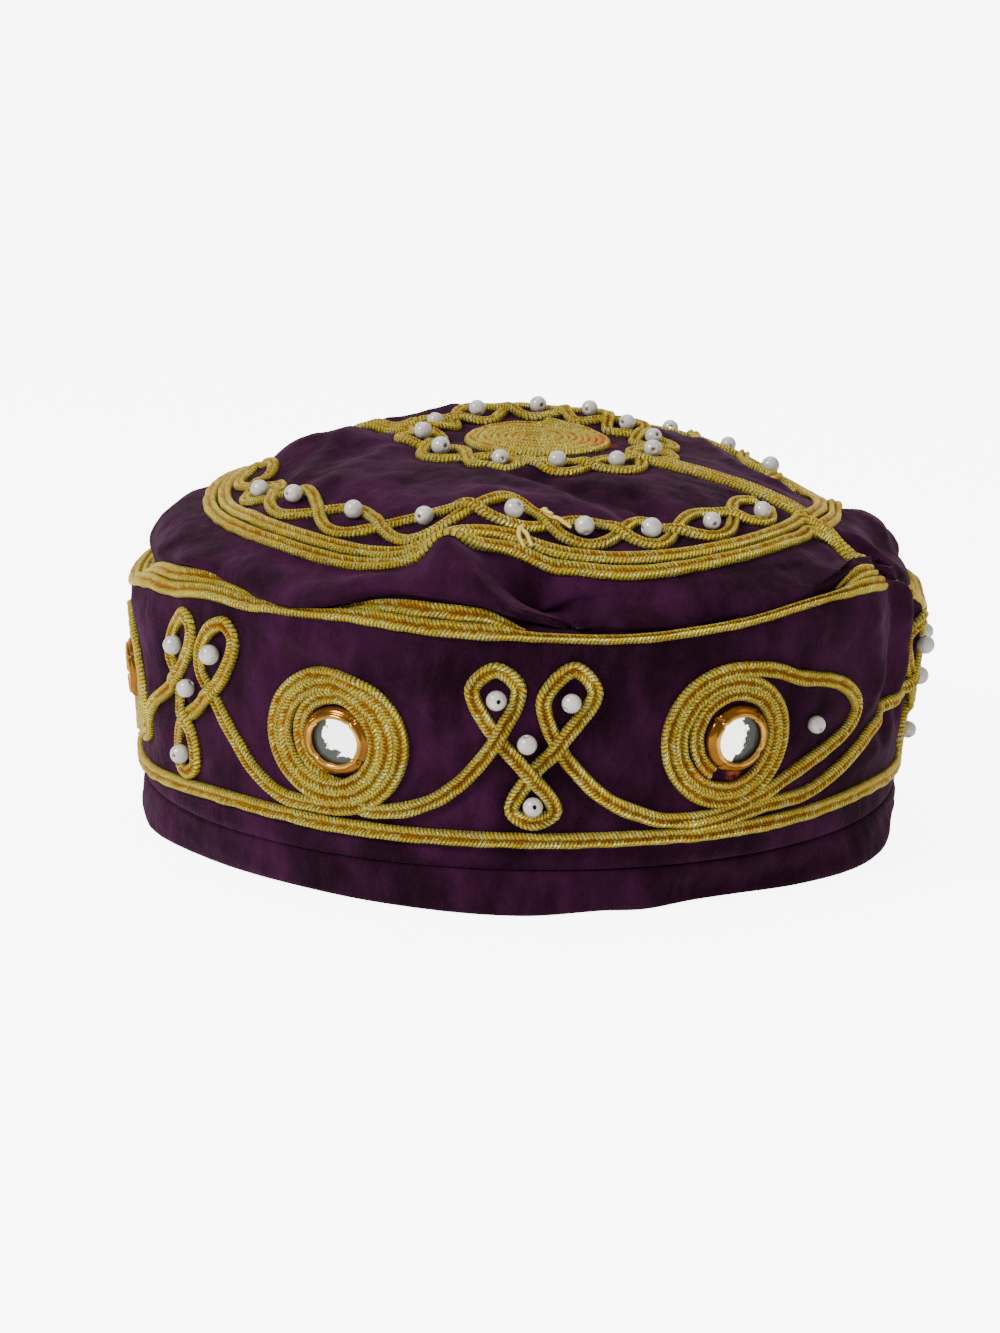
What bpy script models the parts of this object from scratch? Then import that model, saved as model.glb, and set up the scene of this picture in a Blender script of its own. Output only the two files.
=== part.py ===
"""Round velvet cap with gold braid, small mirrors and pearls.

The cap stands on its rim at z = 0 with its front towards -Y. A place on the cap is given by its
azimuth in degrees (0 at the front, growing towards +X) and by its distance along the cloth: up
the side from the fold above the hem, or out over the crown from its middle. Tables and drawing
lengths are in millimetres, and every mesh is made in metres.
"""

import math

from functools import partial

import bmesh
import bpy
import numpy as np
from mathutils import Vector
from mathutils.bvhtree import BVHTree

MM = 0.001

# Moves the whole cap so that its overall box is centred on the origin
CENTRING = (-1.8, 0.35, 0.0)

# The three cloth pieces
SIDE_RADIUS = 92.5
SIDE_PER_DEGREE = math.radians(1) * SIDE_RADIUS
HEM_TOP = 9.8
HEM_OUTER = 92.4
HEM_THICKNESS = 2.6
SEAM_GAP = 0.35
FOOT_ROUND = 0.8
SIDE_THICKNESS = 2.6
TRIM_WIDTH = 7.4
BEND_START = 0.8
BEND_LENGTH = 0.8
LEAN_CHANGE = 18.0
LEAN_CHANGE_LENGTH = 5.0
CROWN_THICKNESS = 2.0
CROWN_MIDDLE_HEIGHT = 89.7
CROWN_TILT = 0.05
CROWN_EDGE = 84.0
CROWN_SEAM = 98.0
SEAM_FADE = 4.0

# Braid, pearls and mirrors
CORD_WIDTH = 3.4
CORD_THICKNESS = 1.3
CORD_GAP = 0.4
CROWN_CORD_GAP = 0.8
CROSSING_LIFT = 0.25
FOLD_CLEARANCE = 0.14
LOWER_BORDER_CENTRE = 6.8
LEG_CENTRE = 10.7
PEARL_RADIUS = 2.05
PEARL_SIDES = 10
PEARL_RINGS = 4
SPIRAL_HALF_WIDTH = 16.4
SPIRAL_HALF_HEIGHT = 14.4
SPIRAL_HOLE = 7.8
SPIRAL_EDGE = 0.8
SPIRAL_SIDES = 14
RING_OUTER = 7.4
RING_INNER = 4.5
RING_THICKNESS = 1.8
MIRROR_RADIUS = 4.15
MIRROR_THICKNESS = 1.0
ROUND_SIDES = 10
MEDALLION_CENTRE = (2.0, 0.0)
MEDALLION_RADIUS = 19.0
MEDALLION_SIDES = 16
LOOP_COUNT = 12
LOOP_MIDDLE = 27.0
LOOP_HEIGHT = 5.5
LOOP_SWING = 1.6
LOOP_STEPS = 6
SPOKE_START = 35.5
SPOKES = (63.0, -117.0)
WAVE_SWING = 4.3
WAVE_FROM_BORDER = 13.2

# Side of the cap by azimuth. trim is the height above the rim of the trim's lower edge, and tuck
# is how far the cloth above it turns inwards. lean_low and lean_high lean the side outwards.
# Columns: azimuth, foot_radius, lean_low, lean_high, trim, tuck.
SIDE = (
    (-170, 92.5, 2.0, 2.5, 60.5, 78),
    (-140, 92.5, 2.0, 3.0, 60.0, 70),
    (-110, 92.5, 1.5, 4.0, 57.5, 76),
    (-82, 92.5, 1.0, 4.5, 55.5, 74),
    (-66, 92.5, 1.0, 4.0, 59.4, 48),
    (-57, 92.5, 1.0, 3.0, 60.1, 25),
    (-48, 92.5, 1.0, 3.0, 61.8, 60),
    (-36, 92.5, 1.0, 2.5, 60.8, 76),
    (-24, 92.5, 1.0, 2.5, 61.9, 70),
    (-12, 92.5, 1.0, 2.5, 60.8, 25),
    (1, 92.5, 1.0, 2.5, 59.9, 66),
    (14, 92.5, 1.0, 2.5, 59.4, 90),
    (29, 92.5, 1.5, 3.5, 61.2, 90),
    (42, 92.5, 2.0, 4.5, 64.3, 84),
    (54, 92.5, 2.5, 5.5, 65.2, 50),
    (66, 92.3, 2.5, 6.0, 61.5, 70),
    (78, 92.0, 3.0, 8.5, 54.5, 58),
    (96, 92.0, 3.0, 9.0, 58.5, 62),
    (125, 92.5, 2.5, 5.0, 60.0, 74),
    (160, 92.5, 2.0, 3.0, 61.0, 78),
)

# How far the crown falls below its middle. Columns: distance from the middle, fall.
DOME = ((0, 0.0), (20, 0.5), (35, 1.7), (56, 4.1), (70, 8.1), (82, 14.4), (84, 15.7))
DOME_DEGREE = 6

# Crown by azimuth. fall multiplies the dome's fall, and border is the outer edge of the border.
# Columns: azimuth, fall, border.
CROWN = (
    (-150, 1.20, 78.0),
    (-105, 1.30, 78.0),
    (-84, 1.26, 78.0),
    (-66, 1.15, 79.0),
    (-53, 1.05, 80.5),
    (-41, 1.00, 82.0),
    (-26, 1.00, 83.5),
    (-15, 1.00, 83.0),
    (-8, 1.00, 79.5),
    (-2, 1.00, 77.5),
    (8, 1.00, 81.0),
    (18, 1.00, 82.5),
    (35, 1.00, 82.0),
    (48, 1.05, 80.0),
    (60, 1.12, 78.0),
    (78, 1.25, 77.0),
    (110, 1.25, 77.0),
    (150, 1.15, 78.0),
)

# Folds and dents of the crown, each a ridge (or, below zero, a hollow) from one place to another
# on the crown laid flat. Columns: start_x, start_y, end_x, end_y, height, width.
FOLDS = (
    (-24, 26, 8, 30, 3.4, 13.0),
    (66, 10, 76, 36, -4.5, 24.0),
    (-9, -60, -17, -84, 4.8, 9.5),
    (-20, -84, -50, -82, 2.5, 6.5),
    (0, -90, 40, -86, -2.5, 7.0),
    (-62, -15, -52, 42, -2.4, 20.0),
)

# One scroll, from its left leg to its right. Columns: azimuth from its middle, height above the rim.
LEFT_LEG = ((-20.2, 21.4), (-13.6, 24.3), (-9.8, 28.2), (-7.3, 32.6))
LEFT_LOOP = ((-4.6, 39.1), (-1.9, 49.7), (-4.9, 53.9), (-7.9, 49.4), (-4.6, 39.1))
LOWER_LOOP = ((-0.1, 30.9), (3.1, 23.4), (0.2, 20.6), (-2.5, 23.4), (-0.1, 30.9))
RIGHT_LOOP = ((3.3, 37.7), (8.0, 48.9), (5.2, 54.2), (1.4, 47.7), (3.3, 37.7))
RIGHT_LEG = ((6.4, 30.9), (10.3, 25.2), (17.4, 21.2))
LONG_LEG = ((-40.2, 21.2), (-34.3, 22.0), (-25.5, 26.8), (-17.2, 32.7), (-9.4, 38.2))
SCROLL_TOPS = ((-4.9, 53.9), (0.2, 20.6), (5.2, 54.2))
SCROLL_PEARLS = ((-4.7, 47.9), (4.8, 47.5), (-0.7, 38.4), (0.2, 24.6))
SCROLLS = (1.2, 78.0, 135.9, -166.2, -108.3, -50.4)
LONG_LEG_SCROLL = 1

# Spirals, each with its mirror's own place. Columns: azimuth, height, mirror_azimuth, mirror_height.
SPIRALS = (
    (28.0, 37.6, 29.4, 37.3),
    (107.0, 36.9, 107.4, 36.2),
    (165.0, 36.9, 165.4, 36.2),
    (-137.0, 36.9, -136.6, 36.2),
    (-79.0, 36.9, -78.6, 36.2),
    (-25.8, 36.9, -25.1, 36.0),
)

# The open lobe beside the seam. Columns: azimuth, height.
LOBE = (
    (35.6, 51.6),
    (39.5, 49.0),
    (45.4, 47.3),
    (50.6, 43.2),
    (52.0, 38.4),
    (49.0, 34.2),
    (41.8, 29.4),
    (36.2, 25.9),
)
LOBE_PEARL = (42.4, 38.0)

# Azimuths where the two cords of the front wave cross. The back wave repeats them.
WAVE_CROSSINGS = (-110, -94, -77, -60, -42, -27, -10, 4, 17, 28, 43, 57)
WAVE_TURN = 180.0

# Direction a fold lifts the crown, up from level. Columns: distance from the middle, degrees.
LIFT_TURN = ((0, 90), (60, 85), (82, 55), (94, 12), (98, 10))

# Outlines of the cords across their run, in widths and thicknesses of one cord.
CORD_SECTION = ((-0.5, 0.0), (0.0, 1.0), (0.5, 0.0))
TWO_CORD_SECTION = ((-1.0, 0.0), (-0.5, 1.0), (0.0, 0.5), (0.5, 1.0), (1.0, 0.0), (0.0, 0.0))
BENT_TWO_CORD_SECTION = TWO_CORD_SECTION[:5] + ((0.5, 0.0), (-0.5, 0.0))

# Outline of the medallion's coil, in its radius and thickness from the inside out.
COIL_SECTION = ((0.5, 0.0), (0.96, 0.0), (1.0, 0.6), (0.9, 1.0), (0.45, 1.0))

# Mesh steps
FINE_STEP = 6.0
COARSE_STEP = 9.0
FINE_HALF_SPAN = 45.0
CORD_STEP = 6.2
TURN_STEP = 5.0
CROWN_INNER_ROWS = (18.0, 34.0, 48.0, 57.0, 64.0)
CROWN_OUTER_ROWS = (CROWN_EDGE + 0.6, 88.0, 91.5, 95.0, CROWN_SEAM)
CROWN_LINING_ROWS = (92.0, 80.0, 60.0, 30.0)
PROFILE_SAMPLES = 141
ROUTE_SAMPLES = 40
ROUTE_STEP = 0.25
SLOPE_STEP = 0.4
SEAT_REACH = 6.0
FUSE_OVERLAP = 1.2
SHARP_EDGE = math.radians(40)
FLAT_EDGE = math.radians(3)

VELVET = (0.045, 0.012, 0.055, 1.0)
GOLD_BRAID = (0.62, 0.42, 0.08, 1.0)
GOLD_RING = (0.80, 0.45, 0.10, 1.0)
MIRROR_SILVER = (0.90, 0.90, 0.92, 1.0)
PEARL_WHITE = (0.82, 0.80, 0.76, 1.0)


def clear_scene():
    for item in list(bpy.data.objects):
        bpy.data.objects.remove(item, do_unlink=True)


def make_material(name, colour, roughness, metallic):
    material = bpy.data.materials.new(name)
    material.use_nodes = True
    shader = material.node_tree.nodes["Principled BSDF"]
    shader.inputs["Base Color"].default_value = colour
    shader.inputs["Roughness"].default_value = roughness
    shader.inputs["Metallic"].default_value = metallic
    material.diffuse_color = colour
    return material


def smooth_step(value):
    value = np.clip(value, 0, 1)
    return value * value * (3 - 2 * value)


def hermite(t, start, start_slope, end, end_slope):
    return (
        (2 * t**3 - 3 * t**2 + 1) * start
        + (t**3 - 2 * t**2 + t) * start_slope
        + (3 * t**2 - 2 * t**3) * end
        + (t**3 - t**2) * end_slope
    )


def around(rows, column, azimuth):
    """Smooth value of a table's column at an azimuth, the table running once round the cap."""
    places = np.array([row[0] for row in rows], float)
    values = np.array([row[column] for row in rows], float)
    places = np.concatenate([places[-2:] - 360, places, places[:2] + 360])
    values = np.concatenate([values[-2:], values, values[:2]])
    slopes = np.zeros(len(places))
    slopes[1:-1] = (values[2:] - values[:-2]) / (places[2:] - places[:-2])
    first = places[2]
    azimuth = (np.asarray(azimuth, float) - first) % 360 + first
    before = np.clip(np.searchsorted(places, azimuth, side="right") - 1, 1, len(places) - 3)
    width = places[before + 1] - places[before]
    t = (azimuth - places[before]) / width
    return hermite(
        t, values[before], width * slopes[before], values[before + 1], width * slopes[before + 1]
    )


def side_length(azimuth):
    """Cloth distance from the fold above the hem up to the seam with the crown."""
    return around(SIDE, 4, azimuth) - HEM_TOP + TRIM_WIDTH


def side_profile(azimuth):
    """Distances, radii, heights and turning angles up the side at each azimuth."""
    azimuth = azimuth[:, None]
    length = side_length(azimuth)
    distance = np.linspace(0, 1, PROFILE_SAMPLES)[None] * length
    trim = length - TRIM_WIDTH
    high = 1 / (1 + np.exp(-(distance - LEAN_CHANGE) / LEAN_CHANGE_LENGTH))
    lean = -(around(SIDE, 2, azimuth) * (1 - high) + around(SIDE, 3, azimuth) * high)
    bend = 1 / (1 + np.exp(-(distance - trim - BEND_START) / BEND_LENGTH))
    angle = np.radians(lean * (1 - bend) + around(SIDE, 5, azimuth) * bend)
    step = length / (PROFILE_SAMPLES - 1)

    def running_total(rate):
        total = np.zeros_like(rate)
        total[:, 1:] = np.cumsum((rate[:, 1:] + rate[:, :-1]) / 2, axis=1) * step
        return total

    radius = around(SIDE, 1, azimuth) - running_total(np.sin(angle))
    height = HEM_TOP + running_total(np.cos(angle))
    return distance, radius, height, angle


def side_section(azimuth, distance):
    """Radius, height and turning angle of the side's cloth, at arrays of places."""
    azimuth, distance = np.broadcast_arrays(np.asarray(azimuth, float), np.asarray(distance, float))
    shape = azimuth.shape
    azimuth = azimuth.ravel()
    distances, radii, heights, angles = side_profile(azimuth)
    place = np.clip(distance.ravel() / distances[:, -1], 0, 1) * (PROFILE_SAMPLES - 1)
    before = np.minimum(place.astype(int), PROFILE_SAMPLES - 2)
    t = place - before
    row = np.arange(len(azimuth))
    return [
        (values[row, before] * (1 - t) + values[row, before + 1] * t).reshape(shape)
        for values in (radii, heights, angles)
    ]


def turned(azimuth, radius, height):
    """Points at azimuths, radii and heights."""
    angle = np.radians(azimuth)
    return np.stack(np.broadcast_arrays(radius * np.sin(angle), -radius * np.cos(angle), height), -1)


def side_cloth(azimuth, distance):
    radius, height, _ = side_section(azimuth, distance)
    return turned(np.asarray(azimuth, float), radius, height)


def fold_lift(azimuth, distance):
    angle = np.radians(azimuth)
    x = distance * np.sin(angle)
    y = -distance * np.cos(angle)
    lift = np.zeros_like(x)
    for start_x, start_y, end_x, end_y, height, width in FOLDS:
        run_x = end_x - start_x
        run_y = end_y - start_y
        along = ((x - start_x) * run_x + (y - start_y) * run_y) / (run_x**2 + run_y**2)
        along = np.clip(along, 0, 1)
        away = (x - start_x - along * run_x) ** 2 + (y - start_y - along * run_y) ** 2
        lift = lift + height * np.exp(-away / width**2)
    return lift * smooth_step((CROWN_SEAM - distance) / SEAM_FADE)


def dome_fit():
    distances = [row[0] for row in DOME]
    falls = [row[1] for row in DOME]
    mirrored = [-distance for distance in distances]
    return np.polyfit(distances + mirrored, falls + falls, DOME_DEGREE)


DOME_FIT = dome_fit()
DOME_SLOPE = np.polyder(DOME_FIT)


def crown_cloth(azimuth, distance):
    """Points on the crown's cloth: a dome as far as its edge, then a side down to the seam."""
    azimuth, distance = np.broadcast_arrays(np.asarray(azimuth, float), np.asarray(distance, float))
    angle = np.radians(azimuth)
    fall = around(CROWN, 1, azimuth)
    radius = np.minimum(distance, CROWN_EDGE)
    tilt = CROWN_TILT * np.cos(angle)
    height = CROWN_MIDDLE_HEIGHT - fall * np.polyval(DOME_FIT, radius) - tilt * radius
    seam_radius, seam_height, seam_angle = side_section(azimuth, side_length(azimuth))
    seam_radius = seam_radius - SEAM_GAP * np.sin(seam_angle)
    seam_height = seam_height + SEAM_GAP * np.cos(seam_angle)
    edge_height = CROWN_MIDDLE_HEIGHT - fall * np.polyval(DOME_FIT, CROWN_EDGE) - tilt * CROWN_EDGE
    edge_slope = -fall * np.polyval(DOME_SLOPE, CROWN_EDGE) - tilt
    reach = np.hypot(seam_radius - CROWN_EDGE, edge_height - seam_height)
    slope_length = np.hypot(1, edge_slope)
    t = np.clip((distance - CROWN_EDGE) / (CROWN_SEAM - CROWN_EDGE), 0, 1)
    side_radius = hermite(t, CROWN_EDGE, reach / slope_length, seam_radius, 0 * reach)
    side_height = hermite(
        t, edge_height, reach * edge_slope / slope_length, seam_height, -0.9 * reach
    )
    past_edge = distance > CROWN_EDGE
    points = turned(
        azimuth, np.where(past_edge, side_radius, radius), np.where(past_edge, side_height, height)
    )
    turn = np.radians(np.interp(distance, *zip(*LIFT_TURN)))
    lift = fold_lift(azimuth, distance)
    return points + turned(azimuth, np.cos(turn) * lift, np.sin(turn) * lift)


def outward(surface, azimuth, distance, per_degree):
    """Unit normals of a cloth surface, pointing out of the cap."""
    step = SLOPE_STEP
    turn = step / np.maximum(per_degree, 0.05)
    up = surface(azimuth, distance + step) - surface(azimuth, distance - step)
    across = surface(azimuth + turn, distance) - surface(azimuth - turn, distance)
    normal = np.cross(across, up)
    return normal / np.linalg.norm(normal, axis=-1, keepdims=True)


def seat(tree, points, normals, lift):
    """Points at a height above the faces of a cloth piece, straight out from its smooth surface."""
    seated = np.array(points)
    for index in np.ndindex(lift.shape):
        normal = Vector(normals[index])
        start = Vector(points[index]) + normal * SEAT_REACH
        hit = tree.ray_cast(start, -normal, 2 * SEAT_REACH)[0]
        base = np.array(hit) if hit else points[index]
        seated[index] = base + normals[index] * lift[index]
    return seated


def on_side(tree, flat, lift):
    """Points lifted off the side: flat holds millimetres round the cap and up its cloth."""
    azimuth = flat[..., 0] / SIDE_PER_DEGREE
    distance = flat[..., 1]
    normal = outward(side_cloth, azimuth, distance, SIDE_PER_DEGREE)
    return seat(tree, side_cloth(azimuth, distance), normal, lift)


def on_crown(tree, flat, lift):
    """Points lifted off the crown: flat holds the crown's own x and y when it is laid flat."""
    distance = np.hypot(flat[..., 0], flat[..., 1])
    azimuth = np.degrees(np.arctan2(flat[..., 0], -flat[..., 1]))
    normal = -outward(crown_cloth, azimuth, distance, np.radians(1) * distance)
    clearance = FOLD_CLEARANCE * np.maximum(fold_lift(azimuth, distance), 0)
    return seat(tree, crown_cloth(azimuth, distance), normal, lift + clearance)


def faces_of(piece):
    """Search tree of a piece's faces, in millimetres."""
    mesh = piece.data
    vertices = [vertex.co / MM - Vector(CENTRING) for vertex in mesh.vertices]
    return BVHTree.FromPolygons(vertices, [tuple(face.vertices) for face in mesh.polygons])


def side_flat(azimuth, height):
    return (azimuth * SIDE_PER_DEGREE, height - HEM_TOP)


def crown_flat(azimuth, distance):
    angle = math.radians(azimuth)
    return (distance * math.sin(angle), -distance * math.cos(angle))


def smooth_route(points, step):
    """Evenly spaced points along a smooth curve through the given flat points."""
    points = np.array(points, float)
    before = 2 * points[:1] - points[1:2]
    after = 2 * points[-1:] - points[-2:-1]
    ext = np.concatenate([before, points, after])
    fine = []
    for i in range(1, len(ext) - 2):
        gaps = [max(np.linalg.norm(ext[i + k] - ext[i + k - 1]), 1e-6) for k in range(3)]
        start_slope = (ext[i + 1] - ext[i - 1]) / (gaps[0] + gaps[1]) * gaps[1]
        end_slope = (ext[i + 2] - ext[i]) / (gaps[1] + gaps[2]) * gaps[1]
        t = np.linspace(0, 1, ROUTE_SAMPLES, endpoint=False)[:, None]
        fine.append(hermite(t, ext[i], start_slope, ext[i + 1], end_slope))
    fine.append(ext[-2:-1])
    fine = np.concatenate(fine)
    run = np.concatenate([[0], np.cumsum(np.linalg.norm(np.diff(fine, axis=0), axis=1))])
    count = max(2, round(run[-1] / step)) + 1
    marks = np.linspace(0, run[-1], count)
    return np.stack([np.interp(marks, run, fine[:, k]) for k in range(2)], -1)


def sideways(route, closed):
    """Unit directions across a flat route, to its left."""
    if closed:
        along = np.roll(route, -1, axis=0) - np.roll(route, 1, axis=0)
    else:
        along = np.gradient(route, axis=0)
    along = along / np.linalg.norm(along, axis=1, keepdims=True)
    return np.stack([-along[:, 1], along[:, 0]], -1)


def tube(rings, closed):
    """Vertices and faces of a tube through equal rings of points, capped unless closed."""
    count, sides = rings.shape[:2]
    vertices = rings.reshape(-1, 3)
    faces = []
    for i in range(count if closed else count - 1):
        for k in range(sides):
            here = i * sides
            there = (i + 1) % count * sides
            after = (k + 1) % sides
            faces.append((here + k, here + after, there + after, there + k))
    if not closed:
        faces.append(tuple(range(sides)))
        faces.append(tuple(range((count - 1) * sides, count * sides)))
    return vertices, faces


def braid(place, route, closed, section, gap):
    """A cord, or two side by side, laid along a flat route on the cloth."""
    across = sideways(route, closed)
    offsets = np.array([point[0] for point in section]) * CORD_WIDTH
    heights = np.array([point[1] for point in section]) * CORD_THICKNESS + gap
    flat = route[:, None, :] + across[:, None, :] * offsets[None, :, None]
    return tube(place(flat, np.broadcast_to(heights, flat.shape[:2])), closed)


def add_piece(name, shape, material, smooth=True):
    """A named object from vertices in millimetres, its faces turned outwards."""
    vertices, faces = shape
    mesh = bpy.data.meshes.new(name)
    mesh.from_pydata(((np.asarray(vertices) + CENTRING) * MM).tolist(), [], faces)
    body = bmesh.new()
    body.from_mesh(mesh)
    bmesh.ops.remove_doubles(body, verts=body.verts, dist=1e-7)
    bmesh.ops.triangulate(body, faces=body.faces)
    bmesh.ops.recalc_face_normals(body, faces=body.faces)
    body.to_mesh(mesh)
    body.free()
    if smooth:
        mesh.shade_smooth()
        mesh.set_sharp_from_angle(angle=SHARP_EDGE)
    mesh.materials.append(material)
    piece = bpy.data.objects.new(name, mesh)
    bpy.context.scene.collection.objects.link(piece)
    return piece


def add_fused(name, shapes, material):
    """One object from overlapping shapes, joined by Boolean unions."""
    parts = [add_piece(name, shape, material, smooth=False) for shape in shapes]
    whole = parts[0]
    for part in parts[1:]:
        join = whole.modifiers.new("join", "BOOLEAN")
        join.operation = "UNION"
        join.solver = "EXACT"
        join.object = part
    bpy.context.view_layer.update()
    graph = bpy.context.evaluated_depsgraph_get()
    mesh = bpy.data.meshes.new_from_object(whole.evaluated_get(graph))
    for part in parts:
        bpy.data.objects.remove(part, do_unlink=True)
    body = bmesh.new()
    body.from_mesh(mesh)
    bmesh.ops.dissolve_limit(body, angle_limit=FLAT_EDGE, verts=body.verts, edges=body.edges)
    bmesh.ops.triangulate(body, faces=body.faces)
    bmesh.ops.dissolve_degenerate(body, edges=body.edges, dist=1e-6)
    bmesh.ops.recalc_face_normals(body, faces=body.faces)
    body.to_mesh(mesh)
    body.free()
    mesh.name = name
    mesh.shade_smooth()
    mesh.set_sharp_from_angle(angle=SHARP_EDGE)
    piece = bpy.data.objects.new(name, mesh)
    bpy.context.scene.collection.objects.link(piece)
    return piece


def columns():
    """Azimuths of the cloth's columns, closer together across the folded front."""
    fine = np.arange(-FINE_HALF_SPAN, FINE_HALF_SPAN, FINE_STEP)
    coarse = np.arange(FINE_HALF_SPAN, 360 - FINE_HALF_SPAN, COARSE_STEP)
    return np.concatenate([fine, coarse])


def make_hem(velvet):
    outer = HEM_OUTER
    inner = HEM_OUTER - HEM_THICKNESS
    top = HEM_TOP - SEAM_GAP
    section = (
        (outer - 0.7, 0.0),
        (outer, 2.5),
        (outer - 0.5, top),
        (inner, top),
        (inner, 0.8),
        (inner + 0.6, 0.0),
    )
    azimuth = columns()[:, None]
    radius = np.array([point[0] for point in section])[None]
    height = np.array([point[1] for point in section])[None]
    return add_piece("hem_band", tube(turned(azimuth, radius, height), True), velvet)


def make_side(velvet):
    azimuth = columns()[:, None]
    trim = side_length(azimuth) - TRIM_WIDTH
    low = np.array([FOOT_ROUND, 13.0, 27.0, 39.0])[None] + 0 * azimuth
    high = trim + np.array([-2.4, 0.0, 1.0, 2.0, 3.7, 5.5, TRIM_WIDTH])[None]
    outer = side_cloth(azimuth, np.concatenate([low, high], axis=1))
    foot_radius, foot_height, _ = side_section(azimuth, 0.0)
    foot = turned(azimuth, foot_radius - FOOT_ROUND, foot_height)
    end_radius, end_height, end_angle = side_section(azimuth, side_length(azimuth))
    inner_end = turned(
        azimuth,
        end_radius - SIDE_THICKNESS * np.cos(end_angle),
        end_height - SIDE_THICKNESS * np.sin(end_angle),
    )
    inner_distance = np.concatenate([trim - 2.6, 30.0 + 0 * trim], axis=1)
    inner_radius, inner_height, _ = side_section(azimuth, inner_distance)
    inner = turned(azimuth, inner_radius - SIDE_THICKNESS, inner_height)
    inner_foot = turned(azimuth, foot_radius - SIDE_THICKNESS, foot_height)
    rings = np.concatenate([foot, outer, inner_end, inner, inner_foot], axis=1)
    return add_piece("side_band", tube(rings, True), velvet)


def crown_rows(azimuth):
    """Distances of the crown's rows at each azimuth, three of them under the border's cords."""
    border = around(CROWN, 2, azimuth)[:, None]
    inner_rows = 0 * border + np.array(CROWN_INNER_ROWS)[None]
    border_rows = border + CORD_WIDTH * np.array([-2.0, -1.0, 0.0])[None]
    outer_rows = 0 * border + np.array(CROWN_OUTER_ROWS)[None]
    return np.concatenate([inner_rows, border_rows, outer_rows], axis=1)


def make_crown(velvet):
    azimuth = columns()
    inner_distance = np.array(CROWN_LINING_ROWS)
    outer = crown_cloth(azimuth[:, None], crown_rows(azimuth))
    inner_place = crown_cloth(azimuth[:, None], inner_distance[None])
    per_degree = np.radians(1) * inner_distance[None] + 0 * azimuth[:, None]
    normal = -outward(
        crown_cloth, azimuth[:, None], inner_distance[None] + 0 * azimuth[:, None], per_degree
    )
    inner = inner_place - normal * CROWN_THICKNESS
    seam_radius, seam_height, seam_angle = side_section(azimuth, side_length(azimuth))
    end = turned(
        azimuth,
        seam_radius - SEAM_GAP * np.sin(seam_angle) - CROWN_THICKNESS * np.cos(seam_angle),
        seam_height + SEAM_GAP * np.cos(seam_angle) - CROWN_THICKNESS * np.sin(seam_angle),
    )
    rings = np.concatenate([outer, end[:, None], inner], axis=1)
    count, rows = rings.shape[:2]
    vertices = rings.reshape(-1, 3)
    middle = crown_cloth(0.0, 0.0)
    top = len(vertices)
    vertices = np.concatenate([vertices, [middle, middle - [0, 0, CROWN_THICKNESS]]])
    faces = []
    for i in range(count):
        here = i * rows
        there = (i + 1) % count * rows
        faces.append((top, here, there))
        faces.append((top + 1, there + rows - 1, here + rows - 1))
        for k in range(rows - 1):
            faces.append((here + k, here + k + 1, there + k + 1, there + k))
    return add_piece("crown", (vertices, faces), velvet)


def ring_route(azimuth, distance):
    angle = np.radians(azimuth)
    return np.stack([distance * np.sin(angle), -distance * np.cos(angle)], -1)


def make_borders(place, gold):
    azimuth = columns()
    low = 0 * azimuth + LOWER_BORDER_CENTRE
    high = side_length(azimuth) - TRIM_WIDTH / 2
    for name, middle, section in (
        ("lower_border_braid", low, CORD_SECTION),
        ("top_trim_braids", high, BENT_TWO_CORD_SECTION),
    ):
        offsets = np.array([point[0] for point in section]) * CORD_WIDTH
        heights = np.array([point[1] for point in section]) * CORD_THICKNESS + CORD_GAP
        up = middle[:, None] + offsets[None]
        flat = np.stack([azimuth[:, None] * SIDE_PER_DEGREE + 0 * up, up], -1)
        rings = place(flat, np.broadcast_to(heights, up.shape))
        add_piece(name, tube(rings, True), gold)


def border_middle(azimuth):
    return around(CROWN, 2, azimuth) - CORD_WIDTH


def make_crown_border(place, gold):
    azimuth = columns()
    ring = ring_route(azimuth, border_middle(azimuth))
    shapes = [braid(place, ring, True, TWO_CORD_SECTION, CROWN_CORD_GAP)]
    for spoke in SPOKES:
        rows = crown_rows(np.array([spoke]))[0]
        rows = [SPOKE_START] + [row for row in rows if SPOKE_START < row < CROWN_SEAM]
        route = np.array([crown_flat(spoke, row) for row in rows])
        gap = CROWN_CORD_GAP + CROSSING_LIFT
        shapes.append(braid(place, route, False, TWO_CORD_SECTION, gap))
    add_fused("crown_border_braids", shapes, gold)


def make_wave(place, name, turn, gold):
    crossings = np.array(WAVE_CROSSINGS, float) + turn
    marks = columns()
    marks = np.concatenate([marks, marks + FINE_STEP / 2, marks + COARSE_STEP / 2])
    marks = (marks - crossings[0]) % 360 + crossings[0]
    marks = np.unique(np.round(marks[(marks > crossings[0] + 1) & (marks < crossings[-1] - 1)], 3))
    marks = marks[np.concatenate([[True], np.diff(marks) > FINE_STEP / 2 - 0.1])]
    azimuth = np.concatenate([crossings[:1], marks, crossings[-1:]])
    phase = np.pi * np.interp(azimuth, crossings, np.arange(len(crossings)))
    middle = around(CROWN, 2, azimuth) - WAVE_FROM_BORDER
    shapes = []
    for side, gap in ((1, CROWN_CORD_GAP), (-1, CROWN_CORD_GAP + CROSSING_LIFT)):
        route = ring_route(azimuth, middle + side * WAVE_SWING * np.sin(phase))
        shapes.append(braid(place, route, False, CORD_SECTION, gap))
    add_fused(name, shapes, gold)


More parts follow.
